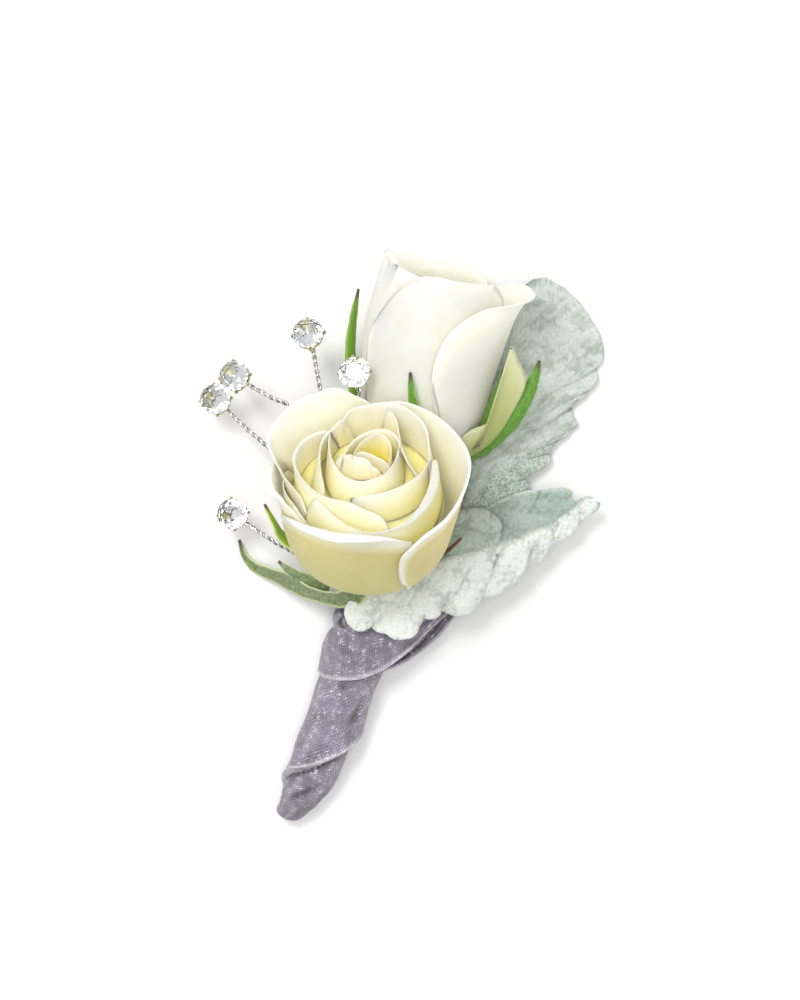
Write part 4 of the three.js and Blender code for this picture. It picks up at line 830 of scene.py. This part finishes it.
def creased(around, up, creases):
    """Sum of creases in the wound ribbon, each a rounded ridge along a line between two places given as
    share of the turn and mm up the handle: height times exp of minus the squared distance over the
    breadth."""
    total = np.zeros(np.broadcast(around, up).shape)
    for (turn_a, up_a), (turn_b, up_b), height, breadth in creases:
        ax, bx = turn_a * ROUND, turn_b * ROUND
        length = math.hypot(bx - ax, up_b - up_a)
        cx, cy = (bx - ax) / length, (up_b - up_a) / length
        along = (around * ROUND - ax) * cx + (up - up_a) * cy
        off = (up - up_a) * cx - (around * ROUND - ax) * cy
        ridge = 1.4 * height * np.exp(-(off / breadth) ** 2)
        total += ridge * smooth(along, -1, 3) * smooth(length - along, -1, 3)
    return total


CREASES = [((0.94, 34), (0.66, 15), 0.45, 0.8), ((0.97, 27.5), (0.82, 33), 0.35, 0.5),
           ((0.88, 31), (0.86, 20), -0.4, 1.0), ((0.56, 12), (0.8, 21), 0.3, 0.6),
           ((0.58, 27), (0.84, 29), 0.3, 0.6), ((0.52, 21), (0.72, 24), -0.3, 0.8),
           ((0.95, 20.5), (0.72, 13), 0.35, 0.6), ((0.6, 12), (0.56, 22), 0.3, 0.7),
           ((0.84, 12), (0.7, 4), -0.35, 0.9), ((0.9, 24), (0.74, 19), 0.3, 0.5),
           ((0.78, 28), (0.7, 31), -0.25, 0.6)]


def wound_sleeve(rows=260, sides=150):
    """Closed winding: rings round the handle's axis whose radius drops by the ribbon's step where a turn
    laps over the one below, along a helix of the pitch, with creases pressed in; its inner wall is 1 mm
    in and its tip is pinched to one side. Also gives the ribbon's own coordinates in mm, along it and
    across it."""
    v = np.linspace(0, 1, rows)
    line = path(HANDLE, v)
    along = unit(np.gradient(line, axis=0))
    side = unit(np.stack([along[:, 1], -along[:, 0], 0 * v], -1))
    down = np.cross(along, side)
    length = np.linalg.norm(np.gradient(line, axis=0), axis=1).sum()
    share = np.linspace(0, 1, sides, endpoint=False)[None, :]
    up = v[:, None] * length
    turns = (up - 7.5) / PITCH - (share - 0.5)
    phase = turns - np.floor(turns)
    lap = STEP * (1 - phase) * smooth(phase, 0, 0.02) + 0 * share
    a = 2 * np.pi * share
    hem = 0.2 * np.exp(-((phase - 0.03) / 0.014) ** 2)
    pressed = creased(share, up, CREASES)
    loose = 0.16 * np.sin(3 * a + 0.24 * up) * np.sin(0.4 * up + 1) + 0.1 * np.sin(7 * a - 0.5 * up)
    base = through(HANDLE_RADII, v)[:, None]
    reach = base + lap + hem + loose + pressed
    around = np.cos(a)[..., None] * side[:, None, :] + np.sin(a)[..., None] * down[:, None, :]

    def ring(r):
        return line[:, None, :] + r[..., None] * around

    outer = ring(reach)
    outer[..., 2] = np.maximum(outer[..., 2], RIBBON_LOWEST)
    quarter = np.linspace(0.08, 0.92, 9) * np.pi / 2
    pinch = along[0] * -2.0 - side[0] * 0.5
    swing, ease = np.sin(quarter)[:, None, None] ** 0.8, np.cos(quarter)[:, None, None]
    tip = line[0] + (outer[0] - line[0]) * swing + pinch * ease
    tip[..., 2] = np.maximum(tip[..., 2], RIBBON_LOWEST)
    keep = np.linspace(rows - 1, int(rows * 0.2), 40).astype(int)
    inner = ring(base - 1 + 0 * a)[keep]
    rings = np.concatenate([tip, outer, inner])
    shell = ringed(rings, np.stack([line[0] + pinch * 0.98, line[keep[-1]]]), {})
    tilt = math.atan2(PITCH, ROUND)
    round_mm, up_mm = a * MEAN_RADIUS * np.ones((rows, 1)), up * np.ones((1, sides))
    lengthwise = round_mm * math.cos(tilt) + up_mm * math.sin(tilt)
    crosswise = up_mm * math.cos(tilt) - round_mm * math.sin(tilt)
    # Painted shade, as the fold values: lighter on bulges and crease crests, darker in crease troughs, at the
    # tip's lower right and in a band just under the edge of the turn that laps over; a painted highlight
    # along each lap's edge.
    tip_painted_shade = 0.15 * smooth(share, 0.72, 0.9) * smooth(14 - up, 0, 6)
    shade = np.clip(0.6 + 0.7 * pressed + 0.5 * loose - tip_painted_shade - np.exp(-((1 - phase) / 0.04) ** 2), 0, 1)
    lap_painted_highlight = np.exp(-((phase - 0.03) / 0.02) ** 2)
    marks = {"warp": lengthwise, "weft": crosswise, "fold": shade, "hem": lap_painted_highlight}
    for key, mark in marks.items():
        marks[key] = np.append(np.concatenate([np.repeat(mark[:1], 9, 0), mark, mark[keep]]).ravel(), [0, 0])
    return shell[0], shell[1], marks


def loose_turn(lower, upper, crown, folds, shade, seed, rows=170, columns=50):
    """Closed sheet between its lower and upper edge, crowned in the middle, with folds that fan along it
    and a rolled hem at its lower edge."""
    v = np.linspace(0, 1, rows)
    low, high = path(lower, v)[:, None, :], path(upper, v)[:, None, :]
    u = np.linspace(0, 1, columns)[None, :]
    grid = low + (high - low) * u[..., None]
    bow = crown * np.sin(np.pi * u) * np.sin(np.pi * v)[:, None]
    draw = np.random.default_rng(seed)
    sway = 0.4 * np.sin(5 * v + draw.uniform(0, 6))[:, None]
    crease = np.sin(2 * np.pi * (2.6 * u ** 0.8 + sway) + draw.uniform(0, 6))
    fade = 0.5 + 0.5 * np.sin(4 * v + draw.uniform(0, 6))[:, None]
    crease = crease * np.sin(np.pi * np.clip(u, 0, 1)) ** 0.5 * fade
    hem = 0.16 * np.exp(-((u - 0.035) / 0.03) ** 2)
    normal = surface_normals(grid)
    normal = normal * np.sign(normal[..., 2:3] + 1e-9)
    grid = grid + normal * (folds * crease + hem)[..., None]
    grid[..., 2] += bow
    points, quads, _ = closed_sheet(grid, RIBBON_THICK)
    span = np.linalg.norm(high - low, axis=-1)
    run = np.cumsum(np.linalg.norm(np.gradient((low + high)[:, 0] / 2, axis=0), axis=1))[:, None]
    edge = np.exp(-((u - 0.03) / 0.04) ** 2)
    # Painted shade: one level for the whole turn, darker in the troughs of its folds; a painted highlight
    # along its hem.
    marks = on_both((rows, columns), warp=run, weft=u * span, fold=shade + 0.3 * crease, hem=edge)
    return points, [quads], marks


def tucked_knot(centre, size, seed):
    """Closed knot: a ball stretched to size with folds that wind round it."""
    a = np.linspace(0, 2 * np.pi, 60, endpoint=False)[None, :]
    b = np.linspace(0.06, np.pi - 0.06, 40)[:, None]
    crumple = 1 + 0.07 * np.sin(3 * a + 4 * b + seed) + 0.04 * np.sin(7 * b - 2 * a)
    wide = crumple * np.sin(b)
    rings = np.stack([wide * np.cos(a), wide * np.sin(a), crumple * -np.cos(b) + 0 * a], -1)
    rings = np.array(centre) + rings * np.array(size)
    ends = np.array(centre) + np.array([[0, 0, -1.0], [0, 0, 1.0]]) * np.array(size) * crumple.mean()
    shell = ringed(rings, ends, {})
    # Painted shade along the folds that wind round it.
    fold = 0.5 + 0.5 * np.sin(3 * a + 4 * b)
    marks = {"warp": a * 2.3 + 0 * b, "weft": b * 2.3 + 0 * a, "fold": fold, "hem": 0 * fold}
    return shell[0], shell[1], {key: np.append(value.ravel(), [0, 0]) for key, value in marks.items()}


def organza_finish(name, thread, shade, gap, glint):
    """Organza: a sheer plain weave of fine bright filament yarn, crisp. Its glints are cool painted
    highlights in scattered spots, where it is also glossier, and along each hem; its fold values give painted
    shade.
    Real threads are about 0.2 mm apart; they are drawn 0.5 mm apart so that the weave shows."""
    material, shader = new_material(name)
    warp, weft = attribute(material, "warp"), attribute(material, "weft")
    spacing = 2 * math.pi / THREAD_SPACING
    flat = (node(material, "ShaderNodeCombineXYZ", X=warp, Y=weft), 0)
    drift = noise(material, flat, 0.22)
    bent = maths(material, "MULTIPLY", drift, 14.0)
    yarn = []
    for way in (warp, weft):
        phase = maths(material, "ADD", maths(material, "MULTIPLY", way, spacing), bent)
        yarn.append(maths(material, "SINE", phase, 0.0))
    patch = noise(material, flat, 0.4, 5.0, 0.7)
    tone = blend_colours(material, mask(material, patch, 0.4, 0.62), shade, thread)
    lattice = maths(material, "ADD", yarn[0], yarn[1])
    filled = maths(material, "MULTIPLY", maths(material, "ADD", lattice, 2.0), 0.25)
    open_weave = ramp(material, filled, [(0.2, gap), (0.6, "#ffffff")])
    in_places = ramp(material, drift, [(0.42, "#404040"), (0.62, "#ffffff")])
    seen = maths(material, "MULTIPLY", (in_places, 0), 0.6)
    tone = blend_colours(material, seen, tone, (open_weave, 0), "MULTIPLY")
    # Painted shade from the fold values: darker in crease troughs, under each lap, on the turn behind and at
    # the tip.
    pressed = ramp(material, attribute(material, "fold"), [(0.1, "#5c585c"), (0.62, "#ffffff")])
    tone = blend_colours(material, 0.9, tone, (pressed, 0), "MULTIPLY")
    # Painted highlight: a bright line along each lap's edge and each loose turn's hem.
    tone = blend_colours(material, maths(material, "MULTIPLY", attribute(material, "hem"), 0.4), tone, glint)
    # Painted highlights: glint-coloured dashes across the yarn in the brighter random patches, where the yarn
    # is also made glossier.
    long_way, short_way = maths(material, "MULTIPLY", warp, 0.8), maths(material, "MULTIPLY", weft, 2.6)
    stretched = node(material, "ShaderNodeCombineXYZ", X=long_way, Y=short_way)
    grain = mask(material, noise(material, (stretched, 0), 1.3, 2.0, 0.7), 0.55, 0.62)
    bright_part = ramp(material, patch, [(0.48, "#181818"), (0.62, "#ffffff")])
    painted_glint_spots = maths(material, "MULTIPLY", grain, (bright_part, 0))
    skin = blend_colours(material, painted_glint_spots, tone, glint)
    woven, rumpled = maths(material, "MULTIPLY", lattice, 0.35), maths(material, "MULTIPLY", patch, 2.4)
    rough = node(material, "ShaderNodeMapRange", [("To Min", 0.42), ("To Max", 0.2)], Value=painted_glint_spots)
    material.node_tree.links.new(rough.outputs[0], shader.inputs["Roughness"])
    return dress(material, shader, skin, maths(material, "ADD", woven, rumpled), 0.7, 0.0004,
                 Specular_IOR_Level=0.7, Sheen_Weight=0.15)


organza = organza_finish("organza ribbon, grey violet", thread="#9d98ab", shade="#857f8d", gap="#625c66",
                         glint="#f4f2fa")
front_turn = loose_turn(
    [[-3.6, -30.6, 4.6], [-1.4, -31.4, 10.4], [4.2, -30, 12.6], [9, -26.6, 11.8], [13, -21.6, 11.4],
     [15.4, -17.2, 10.8], [18.5, -11.9, 9.2], [20, -9.8, 7.8]],
    [[-4.2, -24.4, 5], [-3.2, -20.8, 10.4], [0.4, -17.6, 12.6], [4.9, -15, 12.8], [9, -12.8, 12.4],
     [13.8, -10.6, 11.4], [17.9, -9.4, 9.4], [19.8, -9.2, 7.8]],
    crown=0.6, folds=0.2, shade=0.54, seed=61)
# The turn that lies behind gets darker painted shade than the front one.
back_turn = loose_turn(
    [[21, -10.5, 7.2], [19.9, -13.2, 6.4], [18.6, -16.4, 5.6], [15.8, -20.7, 5], [12.4, -24.5, 5],
     [8.4, -27.4, 4.6]],
    [[20, -9.6, 7.4], [17.2, -12.4, 6.6], [14.6, -16, 6], [11.6, -19.6, 5.2], [8.6, -23, 4.6],
     [5, -26, 4.6]],
    crown=0.1, folds=0.15, shade=0.3, seed=62, rows=90, columns=30)
knot = tucked_knot(centre=[-1.7, -17.9, 11.6], size=[2.3, 2.9, 1.8], seed=1.0)
piece("wound_ribbon", [wound_sleeve(), front_turn, back_turn, knot], "ribbon", organza)


# Crystals, their cups and the wires
# Five cut-glass crystals, foiled silver behind so that they flash, each held by four claws of a little
# gold-toned cup. A pair of bright wires, twisted together, carries each cup, and all five pairs join one
# trunk that is bound in with the stems.
CRYSTAL_RADIUS, CLAW = 3.25, 0.3
# Each crystal's middle, the way it faces, and its wires' path from behind it towards the fork
SPRAY = [
    dict(at=[-25, 36.8, 20], face=[-0.25, 0.3, 1],
         wire=[[-19.4, 26.2, 15.6], [-15.8, 18.7, 13.6], [-9.8, 7.3, 10.8]]),
    dict(at=[-37.4, 24.1, 18], face=[-0.4, 0.1, 1],
         wire=[[-29.1, 22, 14.6], [-23.6, 21, 13.6], [-16.1, 13, 11.6]]),
    dict(at=[-40.1, 18.4, 12], face=[-0.25, 0.1, 1],
         wire=[[-31.7, 14.1, 9.4], [-26.1, 11.4, 9.8], [-16.8, 5.3, 9.4]]),
    dict(at=[-13.4, 31.5, 28], face=[-0.1, 0.1, 1],
         wire=[[-10.7, 26.4, 20.4], [-8.6, 19, 14.4], [-6, 8, 11]]),
    dict(at=[-30, -3.7, 12], face=[-0.2, 0, 1],
         wire=[[-22.6, -6.1, 10.4], [-18.4, -7.3, 9.8], [-10.6, -8.4, 8.6]]),
]
FORK = [-4.6, -6.6, 8.2]


def pose(item, points):
    """Points moved from a stone's own frame, table up, to its place: turned by the least turn that takes
    +Z to its face direction."""
    f = unit(np.array(item["face"], float))
    axis = np.cross([0, 0, 1], f)
    s, c = np.linalg.norm(axis), f[2]
    k = axis / s
    cross = np.array([[0, -k[2], k[1]], [k[2], 0, -k[0]], [-k[1], k[0], 0]])
    turn = np.eye(3) + s * cross + (1 - c) * cross @ cross
    return np.asarray(points) @ turn.T + np.array(item["at"], float)


def circle(count, radius, height, turn=0.0):
    """Points of a level circle, turned by a share of one step."""
    a = 2 * np.pi * (np.arange(count) + turn) / count
    return np.stack([radius * np.cos(a), radius * np.sin(a), np.full(count, height)], -1)


def facets(*corners):
    """Facets whose corners are the given columns of point numbers."""
    return np.stack(corners, -1)


def brilliant(r):
    """Round brilliant: an eight-sided table, stars, kites and sixteen girdle facets above, mains and halves
    below to a point. Gives points and the facets above and below the girdle."""
    table, kite = circle(8, 0.54 * r, 0.42 * r), circle(8, 0.8 * r, 0.27 * r, 0.5)
    girdle, under = circle(16, r, 0.06 * r), circle(16, r, -0.03 * r)
    half = circle(8, 0.42 * r, -0.44 * r, 0.5)
    points = np.concatenate([table, kite, girdle, under, half, [[0, 0, -0.74 * r]]])
    i = np.arange(8)
    j = (i + 1) % 8
    t, k, g, b, h = i, 8 + i, 16 + 2 * i, 32 + 2 * i, 48 + i
    gn, bn = 16 + (2 * i + 2) % 16, 32 + (2 * i + 2) % 16
    above = [np.arange(8)[None, :], facets(t, k, j), facets(t, 8 + (i - 1) % 8, g, k), facets(k, g, g + 1),
             facets(k, g + 1, gn)]
    band = np.arange(16)
    above.append(facets(16 + band, 32 + band, 32 + (band + 1) % 16, 16 + (band + 1) % 16))
    below = [facets(h, b + 1, b), facets(h, bn, b + 1), facets(np.full(8, 56), h, b, 48 + (i - 1) % 8)]
    return points, above, below


def stone_points_out(points, faces):
    """Each facet listed so that its corners turn anticlockwise seen from outside the stone."""
    faces = [list(row) for block in faces for row in block.tolist()]
    flips = [np.dot(np.cross(points[f[1]] - points[f[0]], points[f[2]] - points[f[0]]),
                    points[f].mean(0) + [0, 0, 0.1]) < 0 for f in faces]
    return [f[::-1] if flip else f for f, flip in zip(faces, flips)]


def plated_metal(name, scale, detail, dark, pale, pale_at, roughness):
    """Bright metal whose tone drifts a little over the piece, as thin plating does."""
    material, shader = new_material(name)
    drift = noise(material, object_place(material), scale, detail)
    tone = ramp(material, drift, [(0.3, dark), (pale_at, pale)])
    material.node_tree.links.new(tone.outputs[0], shader.inputs["Base Color"])
    shader.inputs["Metallic"].default_value = 1.0
    shader.inputs["Roughness"].default_value = roughness
    return material


# Clear lead glass, which bends light strongly, with a polish that is very slightly uneven
cut_glass, shader = new_material("cut glass, clear")
shader.inputs["Base Color"].default_value = linear("#ffffff")
shader.inputs["Transmission Weight"].default_value = 1.0
shader.inputs["IOR"].default_value = 1.6
haze = noise(cut_glass, object_place(cut_glass), 400.0)
polish = node(cut_glass, "ShaderNodeMapRange", [("To Min", 0.0), ("To Max", 0.03)], Value=haze)
cut_glass.node_tree.links.new(polish.outputs[0], shader.inputs["Roughness"])
# Mirror foil that flashes, soft-edged brassy gold, and silvered wire with the streaks of drawing
foil = plated_metal("mirror foil behind the glass", scale=500.0, detail=2.0, dark="#e8eaec", pale="#fbfbfb",
                    pale_at=0.7, roughness=0.05)
gold = plated_metal("gold-toned stamped brass", scale=900.0, detail=3.0, dark="#a89c6c", pale="#d8cfa4",
                    pale_at=0.65, roughness=0.28)
bright_wire = plated_metal("bright silvered wire", scale=1300.0, detail=2.0, dark="#b9b9bb", pale="#efefef",
                           pale_at=0.7, roughness=0.22)


def cup_shells(item):
    """Cup: a bowl turned from its profile, with a ring foot, and four claws swept up past the girdle,
    each a small bar that leans in at its rounded tip."""
    r = CRYSTAL_RADIUS
    bowl = r * np.array([[0, -0.98], [0.22, -0.98], [0.34, -0.93], [0.84, -0.56], [0.93, -0.47], [0.94, -0.4],
                         [0.88, -0.37], [0.8, -0.4], [0.26, -0.8], [0.16, -0.84], [0, -0.84]])
    level = (np.zeros(3), np.array([1.0, 0, 0]), np.array([0, 1.0, 0]), np.array([0, 0, 1.0]))
    shells = [lathe(level, bowl, 48, {})]
    flat = r * math.cos(math.pi / 8) + 0.3
    for quarter in range(4):
        a = 2 * np.pi * (quarter + 0.25) / 4
        out = np.array([math.cos(a), math.sin(a), 0])
        height = np.linspace(0, 1, 16)
        reach = 0.9 * r + (flat + CLAW / 2 - 0.9 * r) * smooth(height, 0, 0.3) - 0.2 * smooth(height, 0.85, 1)
        line = out * reach[:, None] + np.array([0, 0, 1.0]) * (r * (-0.47 + 0.56 * height))[:, None]
        shells.append(tube(line, 0.24 - 0.08 * smooth(height, 0.8, 1), 10, {}))
    return [(pose(item, points), faces, {}) for points, faces, _ in shells]


for number, item in enumerate(SPRAY, 1):
    points, above, below = brilliant(CRYSTAL_RADIUS)
    crown, back = stone_points_out(points, above), stone_points_out(points, below)
    mesh = bpy.data.meshes.new(f"crystal_{number}_cut")
    mesh.from_pydata(pose(item, points) * MM, [], crown + back)
    mesh.materials.append(cut_glass)
    mesh.materials.append(foil)
    mesh.polygons.foreach_set("material_index", [0] * len(crown) + [1] * len(back))
    mesh.update()
    stone = bpy.data.objects.new(f"cut_crystal_{number}", mesh)
    bpy.context.scene.collection.objects.link(stone)
    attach(stone, "root")
    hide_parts(f"crystal_{number}")
    piece(f"claw_cup_{number}", cup_shells(item), f"setting_{number}", gold)


def twisted_pair(points, strand, gap, pitch, turn=0.0):
    """Two closed round strands wound round a path: each centre goes round it at gap, once per pitch."""
    rough = path(points, np.linspace(0, 1, 300))
    run = np.insert(np.cumsum(np.linalg.norm(np.diff(rough, axis=0), axis=1)), 0, 0)
    steps = int(run[-1] * 3.4)
    even = np.linspace(0, run[-1], steps)
    line = np.stack([np.interp(even, run, rough[:, k]) for k in range(3)], -1)
    first, second = carried_frames(line)
    shells = []
    for side in (0, np.pi):
        a = (2 * np.pi * even / pitch + side + turn)[:, None]
        shells.append(tube(line + gap * (np.cos(a) * first + np.sin(a) * second), strand, 8, {}))
    return shells


wires = []
for number, item in enumerate(SPRAY):
    back = pose(item, [0, 0, -0.96 * CRYSTAL_RADIUS - 0.25])
    root = pose(item, [0, 0, -1.2 * CRYSTAL_RADIUS])
    way = [back, root, *item["wire"], FORK, [-3.6, -8.6, 8.4 + 0.1 * number]]
    wires += twisted_pair(way, strand=0.27, gap=0.27, pitch=3.0, turn=number)
trunk = [[-5.4, -5.6, 8.3], [-3.6, -8.6, 8.4], [-1.2, -14, 9], [0.9, -20.4, 9.2], [1.2, -27.5, 9]]
wires += twisted_pair(trunk, strand=0.42, gap=0.4, pitch=5.0)
piece("twisted_wires", wires, "crystal_spray", bright_wire)


# Table and light
# A plain white table top, a soft key light nearly overhead from the upper left of the picture, a second one
# over its middle, and an even pale surround that is darker low down, so that glass and metal have something
# to show.
table_mesh = bpy.data.meshes.new("table_top")
table_mesh.from_pydata([(-1.5, -1.5, 0), (1.5, -1.5, 0), (1.5, 1.5, 0), (-1.5, 1.5, 0)], [], [(0, 1, 2, 3)])
table_top = bpy.data.objects.new("table_top", table_mesh)
bpy.context.scene.collection.objects.link(table_top)
board, shader = new_material("white matt board")
shader.inputs["Base Color"].default_value = linear("#e6e6e6")
shader.inputs["Roughness"].default_value = 0.9
shader.inputs["Specular IOR Level"].default_value = 0.1
table_mesh.materials.append(board)


def soft_light(name, across, along, height, size, power):
    """Square area light whose place is given in the picture's own right and up directions, aimed at the
    part."""
    a = PICTURE_TURN
    lamp = bpy.data.lights.new(name, "AREA")
    lamp.size, lamp.energy = size, power
    made = bpy.data.objects.new(name, lamp)
    x = across * math.cos(a) - along * math.sin(a)
    y = across * math.sin(a) + along * math.cos(a)
    made.location = (x, y, height)
    aim = -made.location
    made.rotation_euler = aim.to_track_quat("-Z", "Y").to_euler()
    bpy.context.scene.collection.objects.link(made)


soft_light("key_light", across=-0.27, along=0.35, height=1.08, size=0.32, power=6.9)
soft_light("front_light", across=0.03, along=-0.1, height=1.3, size=0.5, power=5.8)
world = bpy.data.worlds.new("pale_surround")
bpy.context.scene.world = world
world.use_nodes = True
tree = world.node_tree
coordinate = tree.nodes.new("ShaderNodeTexCoord")
split = tree.nodes.new("ShaderNodeSeparateXYZ")
tree.links.new(coordinate.outputs["Generated"], split.inputs[0])
shade = tree.nodes.new("ShaderNodeValToRGB")
shade.color_ramp.elements[0].position, shade.color_ramp.elements[0].color = 0.42, (0.6, 0.59, 0.57, 1)
shade.color_ramp.elements[1].position, shade.color_ramp.elements[1].color = 0.72, (1, 1, 1, 1)
tree.links.new(split.outputs[2], shade.inputs[0])
tree.links.new(shade.outputs[0], tree.nodes["Background"].inputs[0])
tree.nodes["Background"].inputs[1].default_value = 0.86
bpy.context.scene.view_settings.view_transform = "Standard"
